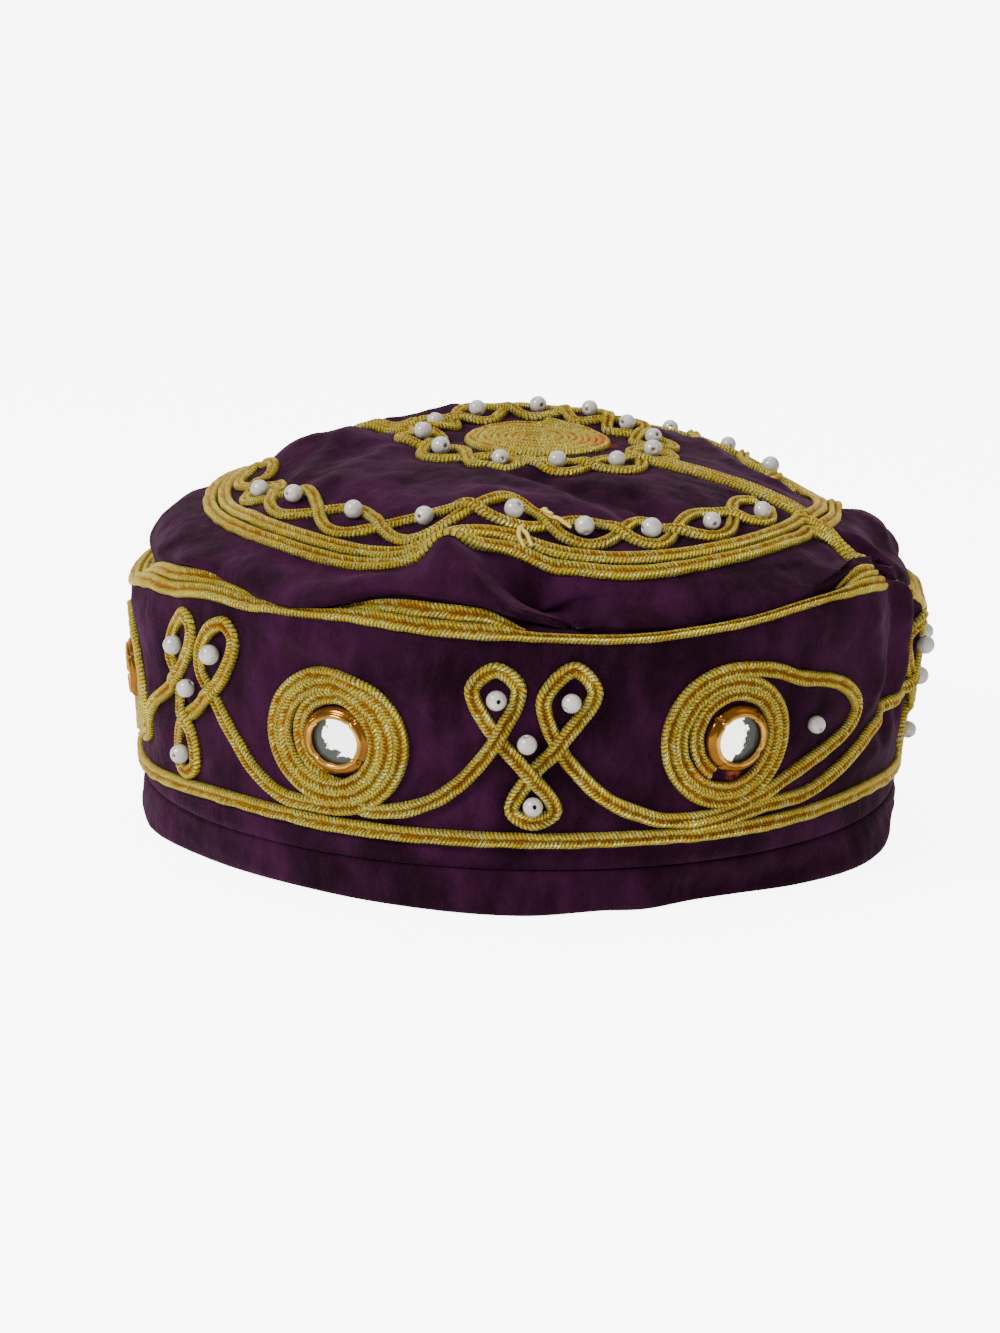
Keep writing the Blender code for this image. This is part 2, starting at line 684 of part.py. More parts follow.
def make_medallion(place, gold):
    angle = np.linspace(0, 2 * np.pi, MEDALLION_SIDES, endpoint=False)
    circle = np.stack([np.cos(angle), np.sin(angle)], -1)
    centre = np.array(MEDALLION_CENTRE)
    rows = []
    for radius, height in COIL_SECTION:
        flat = centre + circle * radius * MEDALLION_RADIUS
        lift = CROWN_CORD_GAP + height * CORD_THICKNESS
        rows.append(place(flat, np.full(MEDALLION_SIDES, lift)))
    rings = np.stack(rows, axis=1)
    count, sides = rings.shape[:2]
    vertices = rings.reshape(-1, 3)
    hub_lift = np.array([CROWN_CORD_GAP, CROWN_CORD_GAP + CORD_THICKNESS])
    hub = place(np.array([centre, centre]), hub_lift)
    low = len(vertices)
    vertices = np.concatenate([vertices, hub])
    faces = []
    for i in range(count):
        here = i * sides
        there = (i + 1) % count * sides
        faces.append((low, there, here))
        faces.append((low + 1, here + sides - 1, there + sides - 1))
        for k in range(sides - 1):
            faces.append((here + k, there + k, there + k + 1, here + k + 1))
    add_piece("medallion_coil", (vertices, faces), gold)

    phase = np.linspace(0, 2 * np.pi * LOOP_COUNT, LOOP_COUNT * LOOP_STEPS, endpoint=False)
    theta = phase / LOOP_COUNT - LOOP_SWING * np.sin(phase) / LOOP_MIDDLE
    radius = LOOP_MIDDLE + LOOP_HEIGHT * np.cos(phase)
    route = centre + np.stack([radius * np.sin(theta), -radius * np.cos(theta)], -1)
    add_piece("medallion_loops", braid(place, route, True, CORD_SECTION, CROWN_CORD_GAP), gold)


def scroll_points(index):
    """The scroll's points by azimuth and height, with its leg ends under the spirals beside it."""
    middle = SCROLLS[index]
    spirals = [row[0] for row in SPIRALS]
    right = min((spiral - middle) % 360 for spiral in spirals)
    left = min((middle - spiral) % 360 for spiral in spirals)
    gap = 0.5 * SEAM_GAP / SIDE_PER_DEGREE
    level = LEG_CENTRE + HEM_TOP
    left_leg = LONG_LEG if index == LONG_LEG_SCROLL else LEFT_LEG
    start = (gap - left, level)
    end = (right - gap, level)
    return (start,) + left_leg + LEFT_LOOP + LOWER_LOOP + RIGHT_LOOP + RIGHT_LEG + (end,)


def make_scroll(place, index, gold):
    """One scroll, cut at the far ends of its loops so that each stretch crosses the others once."""
    middle = SCROLLS[index]
    points = [side_flat(middle + azimuth, height) for azimuth, height in scroll_points(index)]
    whole = smooth_route(points, ROUTE_STEP)
    cuts = [0]
    for azimuth, height in SCROLL_TOPS:
        target = np.array(side_flat(middle + azimuth, height))
        cuts.append(int(np.argmin(np.linalg.norm(whole - target, axis=1))))
    cuts.append(len(whole) - 1)
    extra = round(FUSE_OVERLAP / ROUTE_STEP)
    shapes = []
    for k in range(len(cuts) - 1):
        first = max(cuts[k] - extra, 0)
        last = min(cuts[k + 1] + extra, len(whole) - 1)
        stretch = whole[first:last + 1]
        thinned = stretch[:: max(1, len(stretch) // ROUTE_SAMPLES)]
        route = smooth_route(np.concatenate([thinned, stretch[-1:]]), TURN_STEP)
        gap = CORD_GAP + CROSSING_LIFT * (k % 2)
        shapes.append(braid(place, route, False, CORD_SECTION, gap))
    add_fused(f"scroll_braid_{index + 1}", shapes, gold)


def make_lobe(place, gold):
    route = smooth_route([side_flat(*point) for point in LOBE], CORD_STEP)
    add_piece("lobe_braid", braid(place, route, False, CORD_SECTION, CORD_GAP), gold)


def flat_ring(place, centre, rows, sides):
    """Rings of points on the side about a flat centre, a row for each radius pair and height."""
    angle = np.linspace(0, 2 * np.pi, sides, endpoint=False)
    made = []
    for shift, half_width, half_height, height in rows:
        flat = np.stack(
            [
                centre[0] + shift[0] + half_width * np.cos(angle),
                centre[1] + shift[1] + half_height * np.sin(angle),
            ],
            -1,
        )
        made.append(place(flat, np.full(sides, CORD_GAP + height)))
    return np.stack(made, axis=1)


def make_spirals(place, gold, ring_gold, silver):
    for index, (azimuth, height, mirror_azimuth, mirror_height) in enumerate(SPIRALS):
        number = index + 1
        mirror = np.array(side_flat(mirror_azimuth, mirror_height))
        shift = np.array(side_flat(azimuth, height)) - mirror
        thick = CORD_THICKNESS
        slope = SPIRAL_EDGE
        rows = (
            ((0, 0), SPIRAL_HOLE, SPIRAL_HOLE, 0.0),
            (shift, SPIRAL_HALF_WIDTH, SPIRAL_HALF_HEIGHT, 0.0),
            (shift, SPIRAL_HALF_WIDTH - slope, SPIRAL_HALF_HEIGHT - slope, thick),
            ((0, 0), SPIRAL_HOLE + slope, SPIRAL_HOLE + slope, thick),
        )
        coil = flat_ring(place, mirror, rows, SPIRAL_SIDES)
        add_piece(f"spiral_coil_{number}", tube(coil, True), gold)
        crest = (RING_OUTER + RING_INNER) / 2
        rows = (
            ((0, 0), RING_INNER, RING_INNER, 0.0),
            ((0, 0), RING_OUTER, RING_OUTER, 0.0),
            ((0, 0), crest, crest, RING_THICKNESS),
        )
        ring = flat_ring(place, mirror, rows, ROUND_SIDES)
        add_piece(f"mirror_ring_{number}", tube(ring, True), ring_gold)
        radius = MIRROR_RADIUS
        rows = (((0, 0), radius, radius, 0.0), ((0, 0), radius, radius, MIRROR_THICKNESS))
        disc = np.swapaxes(flat_ring(place, mirror, rows, ROUND_SIDES), 0, 1)
        add_piece(f"mirror_{number}", tube(disc, False), silver)


def pearl_shape(centre):
    angle = np.linspace(0, 2 * np.pi, PEARL_SIDES, endpoint=False)
    points = []
    for i in range(1, PEARL_RINGS):
        polar = math.pi * i / PEARL_RINGS
        out = math.sin(polar)
        points.append(np.stack([out * np.cos(angle), out * np.sin(angle), 0 * angle + math.cos(polar)], -1))
    rings = np.stack(points, axis=0) * PEARL_RADIUS + centre
    count = len(points)
    poles = [centre + [0, 0, PEARL_RADIUS], centre - [0, 0, PEARL_RADIUS]]
    vertices = np.concatenate([rings.reshape(-1, 3), poles])
    top = count * PEARL_SIDES
    faces = []
    for k in range(PEARL_SIDES):
        after = (k + 1) % PEARL_SIDES
        faces.append((top, k, after))
        faces.append((top + 1, (count - 1) * PEARL_SIDES + after, (count - 1) * PEARL_SIDES + k))
        for i in range(count - 1):
            here = i * PEARL_SIDES
            faces.append((here + k, here + PEARL_SIDES + k, here + PEARL_SIDES + after, here + after))
    return vertices, faces


def make_pearls(place, white):
    spots = [(middle + azimuth, height) for middle in SCROLLS for azimuth, height in SCROLL_PEARLS]
    spots.append(LOBE_PEARL)
    for number, spot in enumerate(spots, start=1):
        flat = np.array([side_flat(*spot)])
        centre = place(flat, np.array([PEARL_RADIUS + CORD_GAP]))[0]
        add_piece(f"band_pearl_{number:02d}", pearl_shape(centre), white)


def main():
    clear_scene()
    velvet = make_material("purple velvet", VELVET, 0.9, 0.0)
    gold = make_material("gold braid", GOLD_BRAID, 0.5, 0.6)
    ring_gold = make_material("gold ring", GOLD_RING, 0.2, 1.0)
    silver = make_material("mirror", MIRROR_SILVER, 0.05, 1.0)
    white = make_material("pearl", PEARL_WHITE, 0.25, 0.0)
    make_hem(velvet)
    side = partial(on_side, faces_of(make_side(velvet)))
    crown = partial(on_crown, faces_of(make_crown(velvet)))
    make_borders(side, gold)
    make_crown_border(crown, gold)
    make_wave(crown, "wave_braid_front", 0.0, gold)
    make_wave(crown, "wave_braid_back", WAVE_TURN, gold)
    make_medallion(crown, gold)
    for index in range(len(SCROLLS)):
        make_scroll(side, index, gold)
    make_lobe(side, gold)
    make_spirals(side, gold, ring_gold, silver)
    make_pearls(side, white)


main()
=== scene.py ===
"""Dresses the velvet cap: cloth with its folds, gold cords, mirrors and pearls, on a pale floor.

The cap stands on its rim at z = 0 with its front towards -Y. The side and the crown are each drawn
flat: the side by millimetres round it and up its cloth, the crown by its own x and y. Tables and
drawing lengths are in millimetres, and every mesh is made in metres.
"""

import math

import bpy
import numpy as np
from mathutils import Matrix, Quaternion
from mathutils import Vector
from mathutils import kdtree
from mathutils import noise


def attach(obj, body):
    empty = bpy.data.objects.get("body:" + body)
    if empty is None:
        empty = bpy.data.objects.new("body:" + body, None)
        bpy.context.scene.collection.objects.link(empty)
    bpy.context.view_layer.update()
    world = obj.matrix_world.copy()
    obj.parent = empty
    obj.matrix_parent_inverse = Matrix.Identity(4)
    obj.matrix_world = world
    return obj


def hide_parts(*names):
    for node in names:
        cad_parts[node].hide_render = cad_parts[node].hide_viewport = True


bl_info = {
    "name": "Velvet Cap Dressing",
    "version": (1, 0, 0),
    "blender": (4, 5, 0),
    "location": "View3D > Sidebar > Cap",
    "description": "Builds the cloth, braid, beads and studio of a round velvet cap",
    "category": "Object",
}

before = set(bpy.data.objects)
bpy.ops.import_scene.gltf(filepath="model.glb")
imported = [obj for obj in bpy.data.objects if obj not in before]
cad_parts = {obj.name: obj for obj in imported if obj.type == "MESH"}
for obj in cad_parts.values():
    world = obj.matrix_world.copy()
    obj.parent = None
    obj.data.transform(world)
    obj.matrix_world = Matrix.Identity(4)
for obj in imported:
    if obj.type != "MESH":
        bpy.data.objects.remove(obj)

MM = 0.001
CENTRING = (-1.8, 0.35, 0.0)

# The three cloth pieces
SIDE_RADIUS = 92.5
SIDE_PER_DEGREE = math.radians(1) * SIDE_RADIUS
HEM_TOP = 9.8
HEM_OUTER = 92.4
HEM_THICKNESS = 2.6
SIDE_THICKNESS = 2.6
TRIM_WIDTH = 7.4
BEND_START = 0.8
BEND_LENGTH = 0.8
LEAN_CHANGE = 18.0
LEAN_CHANGE_LENGTH = 5.0
CROWN_THICKNESS = 2.0
CROWN_MIDDLE_HEIGHT = 89.7
CROWN_TILT = 0.05
CROWN_EDGE = 84.0
CROWN_SEAM = 98.0
SEAM_FADE = 4.0
LEG_CENTRE = 10.7
MEDALLION_CENTRE = (2.0, 0.0)
MEDALLION_RADIUS = 19.0
LOOP_SWING = 5.1
BORDER_TURN = 4.5
BORDER_STRAIGHT = 8.0
BORDER_END = 8.0
BORDER_SPREAD = 1.4
SPOKES = (63.0, -117.0)
SPOKE_STARTS = (33.5, 30.2)
SPOKE_END = 1.3
COIL_PITCH = 0.97
COIL_EYE = 0.3
WAVE_SWING = 4.4
WAVE_FROM_BORDER = 13.0
WAVE_TURN = 180.0

# Side of the cap by azimuth. trim is the height above the rim of the trim's lower edge, and tuck
# is how far the cloth above it turns inwards. lean_low and lean_high lean the side outwards.
# Columns: azimuth, foot_radius, lean_low, lean_high, trim, tuck.
SIDE = (
    (-170, 92.5, 2.0, 2.5, 60.5, 78),
    (-140, 92.5, 2.0, 3.0, 60.0, 70),
    (-110, 92.5, 1.5, 4.0, 57.5, 76),
    (-82, 92.5, 1.0, 4.5, 55.5, 74),
    (-66, 92.5, 1.0, 4.0, 59.4, 48),
    (-57, 92.5, 1.0, 3.0, 60.1, 25),
    (-48, 92.5, 1.0, 3.0, 61.8, 60),
    (-36, 92.5, 1.0, 2.5, 60.8, 76),
    (-24, 92.5, 1.0, 2.5, 61.9, 70),
    (-12, 92.5, 1.0, 2.5, 60.8, 25),
    (1, 92.5, 1.0, 2.5, 59.9, 66),
    (14, 92.5, 1.0, 2.5, 59.4, 90),
    (29, 92.5, 1.5, 3.5, 61.2, 90),
    (42, 92.5, 2.0, 4.5, 64.3, 84),
    (54, 92.5, 2.5, 5.5, 65.2, 50),
    (66, 92.3, 2.5, 6.0, 61.5, 70),
    (78, 92.0, 3.0, 8.5, 54.0, 58),
    (96, 92.0, 3.0, 7.5, 55.0, 62),
    (125, 92.5, 2.5, 5.0, 60.0, 74),
    (160, 92.5, 2.0, 3.0, 61.0, 78),
)

# How far the crown falls below its middle. Columns: distance from the middle, fall.
DOME = ((0, 0.0), (20, 0.5), (35, 1.7), (56, 4.1), (70, 8.1), (82, 14.4), (84, 15.7))
DOME_DEGREE = 6

# Crown by azimuth. fall multiplies the dome's fall, and border is the outer edge of the border.
# Columns: azimuth, fall, border.
CROWN = (
    (-150, 1.20, 78.0),
    (-105, 1.30, 78.0),
    (-84, 1.26, 78.0),
    (-66, 1.15, 79.0),
    (-53, 1.05, 80.5),
    (-41, 1.00, 82.0),
    (-26, 1.00, 83.5),
    (-15, 1.00, 83.0),
    (-8, 1.00, 79.5),
    (-2, 1.00, 77.5),
    (8, 1.00, 81.0),
    (18, 1.00, 82.5),
    (35, 1.00, 82.0),
    (48, 1.05, 80.0),
    (60, 1.12, 78.0),
    (78, 1.25, 77.0),
    (110, 1.25, 77.0),
    (150, 1.15, 78.0),
)

# Direction a fold lifts the crown, up from level. Columns: distance from the middle, degrees.
LIFT_TURN = ((0, 90), (60, 85), (82, 55), (94, 12), (98, 10))

# Folds and dents of the crown, each a ridge (or, below zero, a hollow) from one place to another
# on the crown laid flat. Columns: start_x, start_y, end_x, end_y, height, width.
CROWN_FOLDS = (
    (-24, 26, 8, 30, 3.4, 13.0),
    (66, 10, 76, 36, -3.7, 24.0),
    (-57, 0, -47, 17, 2.6, 8.0),
    (-14, 27, -4, 32, 0.8, 7.0),
    (20, 24, 30, 21, 2.4, 7.0),
    (-85, -32, -88, 12, 2.2, 7.0),
    (86, 2, 91, 24, 3.6, 5.5),
    (-9, -60, -17, -84, 4.8, 9.5),
    (-20, -84, -50, -82, 2.5, 6.5),
    (0, -90, 40, -86, -2.5, 7.0),
    (-62, -15, -52, 42, -2.4, 20.0),
    (-53, -21, -36, 26, 1.9, 4.0),
    (-45, -34, -21, 7, 1.8, 4.5),
    (-58, -40, -30, -38, 1.2, 4.5),
    (-6, -29, 22, -56, -1.8, 3.2),
    (13, -43, 28, -55, -1.5, 2.8),
    (24, -46, 31, -61, -1.5, 2.8),
    (-8, -31, 2, -31, 1.6, 3.4),
    (44, 23, 51, 2, 1.6, 3.5),
    (54, -3, 60, -12, 1.3, 3.0),
    (-26, 16, -18, 30, 1.2, 3.0),
    (-78, -23, -76, -57, 1.3, 4.5),
    (-60, -63, -57, -79, 1.6, 4.5),
    (39, -80, 61, -57, 1.8, 6.0),
    (76, -4, 83, 7, 1.6, 4.0),
    (86, -18, 92, 6, -1.6, 3.2),
    (-16, -80, -4, -95, 4.8, 3.8),
    (-37, 2, -57, 9, 2.6, 7.5),
    (-33, -82, -46, -88, 1.6, 4.0),
    (3, -85, 12, -94, -8.0, 5.2),
    (16, -87, 42, -82, -1.6, 5.0),
    (80, -44, 85, -50, 1.5, 2.8),
    (74, -34, 88, -38, -1.6, 2.2),
    (76, -30, 91, -28, 1.8, 2.8),
    (78, -24, 92, -20, -1.4, 2.4),
    (-82, 6, -70, 46, 1.4, 5.0),
    (-50, 66, -20, 80, 1.5, 5.0),
    (12, 84, 44, 70, 1.3, 5.0),
)

# Folds and gathers of the side, laid flat. Columns: start_x, start_y, end_x, end_y, height, width.
SIDE_FOLDS = (
    (-58, 50, -36, 43, 1.3, 4.2),
    (-34, 40, -27, 15, 0.9, 6.0),
    (-62, 48, -40, 38, -0.9, 3.0),
    (-14, 46, 30, 47, -0.7, 3.5),
    (86, 50, 92, 34, 1.5, 3.6),
    (97, 54, 102, 20, -1.7, 3.0),
    (104, 53, 108, 30, 1.7, 3.4),
    (111, 46, 113, 22, -1.2, 2.8),
    (118, 44, 122, 26, 1.2, 3.6),
    (-118, 44, -104, 18, 1.0, 5.0),
    (-92, 46, -96, 12, -0.8, 4.0),
    (38, 8, 70, 3, 0.8, 3.0),
    (-50, 4, -20, 2, 0.7, 3.0),
    (150, 46, 166, 16, 1.0, 6.0),
    (-190, 44, -176, 16, 0.9, 6.0),
)

# Azimuths where the trim starts and ends, each side of the gathered seam
TRIM_SPAN = (69.0, 417.0)

# Cords of the trim. down and inwards are how far each slides down and sinks where the crown draws
# the trim tight. Columns: height above the trim's lower edge, down, inwards.
TRIM_CORDS = ((1.75, 0.4, 0.0), (5.3, 3.2, 1.7))
TRIM_CORD_WIDTH = 1.04
TRIM_NARROWING = 0.50

# Azimuths over which the trim is drawn tight and eases again, and a pinch with its middle, half
# width and strength
TIGHT_START = (-6, 3)
TIGHT_END = (44, 54)
TRIM_PINCH = (-30, 6, 0.9)

# Height of the lower border's middle above the fold at the hem. Columns: azimuth, height.
LOWER_BORDER = (
    (-170, 6.8),
    (-120, 6.6),
    (-90, 5.0),
    (-74, 4.6),
    (-65, 5.4),
    (-57, 6.4),
    (-49, 7.4),
    (-40, 7.6),
    (-25, 7.0),
    (0, 6.8),
    (27, 6.9),
    (42, 7.2),
    (58, 7.9),
    (75, 6.8),
    (120, 6.8),
)

# How far the hem's foot stands out of round. Columns: azimuth, outwards.
RIM = (
    (-150, 0.6),
    (-110, -0.6),
    (-86, -1.4),
    (-69, 1.2),
    (-52, -0.9),
    (-34, -1.6),
    (-19, 0.2),
    (0, 2.6),
    (11, -0.3),
    (17, 0.3),
    (25, -2.4),
    (33, -2.2),
    (43, 0.6),
    (56, 2.8),
    (68, 1.4),
    (84, -1.8),
    (100, -0.6),
    (130, 1.2),
)

# How the overhang fades in from the top of the crown and out at its seam, and how far it droops
OVERHANG_START = 85
OVERHANG_START_FADE = 9
OVERHANG_END = 0.2
OVERHANG_END_FADE = 1.6
OVERHANG_DROOP = 0.42

# How far the crown's cloth hangs out over the trim. Columns: azimuth, overhang.
OVERHANG = (
    (-160, 1.5),
    (-124, 1.8),
    (-106, 4.4),
    (-94, 2.6),
    (-82, 0.2),
    (-62, 0.2),
    (-51, 1.6),
    (-41, 3.6),
    (-32, 5.4),
    (-26, 3.4),
    (-21, 0.2),
    (-12, 0.0),
    (-7, 0.9),
    (-2, 2.0),
    (4, 3.6),
    (12, 5.0),
    (24, 5.4),
    (40, 5.2),
    (47, 3.4),
    (54, 0.6),
    (58, 1.6),
    (62, 4.6),
    (66, 2.6),
    (74, 1.2),
    (86, 3.0),
    (104, 3.4),
    (130, 1.5),
)

# One scroll, from its left leg to its right. Columns: azimuth from its middle, height above the rim.
LEFT_LEG = ((-20.2, 21.2), (-13.6, 24.0), (-9.8, 28.2), (-7.3, 32.6))
# Where legs stop short of the next mirror: degrees at the left and at the right, and rise at the left
LEG_STOPS = (2.6, 2.0, 0.9)
LEFT_LOOP = ((-4.6, 39.1), (-1.9, 49.7), (-4.9, 53.9), (-7.9, 49.4), (-4.6, 39.1))
LOWER_LOOP = ((-0.1, 30.9), (3.1, 23.4), (0.2, 20.6), (-2.5, 23.4), (-0.1, 30.9))
RIGHT_LOOP = ((3.3, 37.7), (8.0, 48.9), (5.2, 54.2), (1.4, 47.7), (3.3, 37.7))
RIGHT_LEG = ((6.4, 30.9), (10.3, 25.2), (17.4, 21.2))
SCROLL_PEARLS = ((-4.7, 47.9), (4.8, 47.5), (-0.7, 38.4), (0.2, 24.6))
SCROLLS = (1.2, 78.0, 135.9, -166.2, -108.3, -50.4)

# The long left leg of the scroll past the seam. Columns: azimuth, height.
LONG_LEG = (
    (21.3, 18.4),
    (24.1, 18.6),
    (28.5, 19.2),
    (34.7, 20.9),
    (42.2, 21.7),
    (46.8, 23.8),
    (51.9, 27.2),
    (57.7, 32.0),
    (64.7, 36.0),
)

# The scroll at the left of the front, which was sewn out of true. Columns: azimuth, height.
CROOKED_SCROLL = (
    (-73.0, 21.6),
    (-68.6, 24.4),
    (-66.6, 28.4),
    (-64.2, 33.2),
    (-60.2, 37.4),
    (-56.7, 41.6),
    (-52.6, 49.6),
    (-51.8, 54.8),
    (-53.8, 57.0),
    (-57.3, 52.6),
    (-58.9, 46.0),
    (-56.9, 41.2),
    (-54.9, 35.4),
    (-52.7, 28.4),
    (-52.2, 22.6),
    (-54.4, 20.0),
    (-57.0, 21.6),
    (-57.2, 26.8),
    (-55.7, 31.4),
    (-51.0, 36.4),
    (-46.7, 42.0),
    (-43.2, 49.8),
    (-42.5, 54.8),
    (-44.2, 57.4),
    (-47.0, 55.6),
    (-49.6, 50.6),
    (-49.8, 45.2),
    (-47.0, 40.0),
    (-44.8, 35.4),
    (-42.2, 30.6),
    (-39.0, 25.4),
    (-34.6, 21.4),
    (-30.4, 20.6),
    (-25.8, 20.5),
)
CROOKED_PEARLS = ((-55.6, 49.4), (-46.2, 50.2), (-52.3, 40.6), (-54.7, 24.4))

# From the middle scroll's right leg, under a spiral and round the open lobe to the spiral's top.
# Columns: azimuth, height.
LOBE = (
    (15.7, 22.0),
    (18.4, 20.4),
    (21.2, 19.9),
    (24.9, 20.0),
    (28.4, 20.8),
    (31.7, 22.2),
    (36.2, 24.9),
    (41.2, 28.2),
    (46.8, 31.6),
    (50.8, 34.9),
    (52.3, 38.8),
    (50.8, 42.8),
    (47.4, 46.1),
    (43.6, 47.8),
    (39.6, 48.9),
    (36.0, 51.1),
    (33.2, 52.1),
    (30.8, 52.5),
    (29.0, 52.7),
)

# Spirals by the place of their mirror: half_width and half_height of the last turn's middle, how
# far the coil sits left of its mirror, the angles where it starts and ends, winding clockwise, the
# reach of its first turn, how much wider than high its eyelet is, and how long a stretch of its
# start and its end slopes down into the cloth. Columns: azimuth, height, half_width, half_height,
# left, start, end, inner, stretch, start_slope, end_slope.
SPIRALS = (
    (29.4, 37.3, 15.6, 15.4, 1.3, 592, -282, 9.1, 1.04, 0.0, 0.0),
    (107.4, 36.2, 16.4, 15.6, 1.0, 620, -450, 8.4, 1.0, 9.0, 2.5),
    (165.4, 36.2, 16.4, 15.6, 1.0, 560, -450, 8.6, 1.0, 9.0, 2.5),
    (-136.6, 36.2, 16.4, 15.6, 1.0, 600, -450, 8.4, 1.0, 9.0, 2.5),
    (-78.6, 36.2, 16.4, 15.6, 1.0, 580, -450, 8.5, 1.0, 9.0, 2.5),
    (-25.1, 36.0, 17.0, 15.5, 1.6, 632, -452, 8.2, 1.12, 9.0, 0.0),
)
LOBE_PEARL = (42.4, 38.0)

# Azimuths where the two cords of the front wave cross. The back wave repeats them.
WAVE_CROSSINGS = (-96, -78, -60, -42, -27, -10, 4, 17, 28, 43, 57)

# Pearls in the wave's cells and round the medallion, on the crown laid flat. Columns: azimuth or x,
# distance or y.
WAVE_PEARLS = (
    (-68, 66.5),
    (-51, 67),
    (-34, 67.8),
    (-18, 69),
    (-3, 66),
    (10.5, 68.5),
    (22.5, 70.5),
    (35.5, 70),
    (50, 69),
)
MEDALLION_PEARLS = (
    (31, 9),
    (30, -9),
    (21, -24),
    (7, -28),
    (-6, -25),
    (-20, -15),
    (-25, -3),
    (-22, 12),
    (-12, 21),
    (3, 26),
    (16, 23),
    (25, 17),
)

# Pearls whose bore faces out, by their order on the side and on the crown
SIDE_BORES_OUT = (0, 3, 6, 11, 13, 18, 23, 24)
CROWN_BORES_OUT = (0, 2, 4, 8, 13, 19, 24)

# Glue marks and stray dye, on velvet and cords. Columns: flat x, flat y, radius, strength.
CROWN_STAINS = (
    (18, 0, 7.0, 1.0),
    (13, -4, 4.0, 0.5),
    (-4, -6, 2.5, 0.6),
    (60, -26, 3.5, 0.8),
)
SIDE_STAINS = (
    (47.5, 20.0, 4.5, 0.8),
    (39.0, 20.5, 3.0, 0.6),
    (-60.5, 41.0, 1.3, 0.9),
    (-58.5, 44.5, 1.1, 0.8),
    (-61.0, 37.0, 1.0, 0.7),
)

# Loose thread ends on the crown, laid flat. Columns: flat x, flat y, height.
THREADS = (
    ((3.0, -62.0, 1.0), (4.5, -65.5, 2.4), (7.0, -67.2, 3.0), (9.5, -68.5, 2.0)),
    ((4.0, -61.0, 1.0), (3.2, -64.0, 2.6), (5.0, -66.5, 3.6)),
    ((-2.0, -70.0, 0.9), (-0.6, -72.0, 2.0), (1.0, -74.6, 1.2)),
    ((-1.2, -69.2, 0.9), (-2.2, -72.6, 1.8), (-0.4, -75.4, 0.8)),
)

# Outline of one cord across its run: place in half widths, height in thicknesses.
CORD_OUTLINE = (
    (-1.00, 0.00),
    (-0.99, 0.42),
    (-0.84, 0.80),
    (-0.60, 0.98),
    (-0.34, 0.94),
    (-0.14, 0.72),
    (0.00, 0.58),
    (0.14, 0.72),
    (0.34, 0.94),
    (0.60, 0.98),
    (0.84, 0.80),
    (0.99, 0.42),
    (1.00, 0.00),
)

# Half outline of an eyelet. Columns: radius, height.
EYELET = (
    (7.45, -0.4),
    (7.5, 0.5),
    (7.35, 1.1),
    (7.0, 1.6),
    (6.5, 1.95),
    (6.25, 2.0),
    (6.1, 2.35),
    (5.8, 2.6),
    (5.4, 2.6),
    (5.15, 2.35),
    (5.0, 1.9),
    (5.0, 0.6),
)
EYELET_CREASE = 6.2

# Cuts through an eyelet's lip where it is sewn: angles round it, how far they turn from one eyelet
# to the next, half a cut's width in degrees, its depths outside and inside the crease, and the
# height above which the lip is cut
NOTCHES = (58.0, 148.0, 232.0, 318.0)
NOTCH_TURN = 17
NOTCH_HALF_WIDTH = 6
NOTCH_DEPTH = 1.3
NOTCH_DEPTH_INSIDE = 0.585
NOTCH_FLOOR = 1.0

# Rings of a mirror's mesh as shares of its radius, and where each mirror has its painted dark
# reflection, as an angle round it
MIRROR_RADIUS = 5.1
MIRROR_HEIGHT = 1.0
MIRROR_RINGS = (0.3, 0.55, 0.75, 0.9, 1.0)
MIRROR_DARK_SIDES = (170.0, 300.0, 60.0, 210.0, 120.0, 35.0)

# Pearls: the bore's radius, the range of sizes, how many radii the middle stands off the cloth, how
# far a bore that faces out leans outwards, and the range for the others
PEARL_BORE = 0.55
PEARL_SIZES = (0.92, 1.05)
PEARL_SEAT = 0.9
BORE_OUT = 2.6
BORE_LEAN = (-0.1, 0.7)

# How a cord lies: bedded in the pile, its ends sloping down into the cloth, narrower and lifted
# where it crosses another, and uneven by its wobble and its teeth
CORD_BEDDING = 0.15
END_SLOPE = 2.5
END_DEPTH = 1.3
CROSSING_WIDTH = 0.86
CROSSING_LIFT = 1.1
SCROLL_CROSSING_LIFT = 1.15
CROSSING_REACH = 3.0
WOBBLE_LENGTH = 5.0
TOOTH = 0.02
THREADS_A_STEP = 0.5
THREAD_SLANT = 0.95

# Slopes of the scrolls' right-hand ends that lie against another cord, by the scroll's order
SCROLL_END_SLOPES = {0: 1.4, 5: 0.0}

# The velvet's swelling: half the width that a stitched cord holds down, how far away it is full on
# the side and the crown, and the stitches round an eyelet's middle
STITCH_HALF_WIDTH = 1.2
SIDE_PUFF_REACH = 4.5
CROWN_PUFF_REACH = 4.0
EYELET_STITCHES = (0.5, 3.0, 6.0)

# The foot of the side, drawn in at the fold, and the crown's edge, tucked down into its seam
FOOT_HEIGHT = 1.6
FOOT_TUCK = 0.7
SEAM_TUCK = 0.9

# Outline of the hem. Columns of the top edge: in from the face, down from the top. Columns of the
# foot: in from the face, height above the rim.
HEM_GAP = 0.25
HEM_TOP_EDGE = ((0.7, 0.0), (0.3, 0.2), (0.1, 0.7))
HEM_FACE = (8.0, 7.2, 6.4, 5.6, 4.8, 4.0, 3.2, 2.4, 1.6)
HEM_FOOT = ((0.15, 0.9), (0.6, 0.3), (1.2, 0.02))
HEM_SWELL = 0.35
HEM_RIPPLE = 0.9

# Loose thread ends
STRAND_RADIUS = 0.55
STRAND_TAPER = 0.15
STRAND_STEP = 0.35

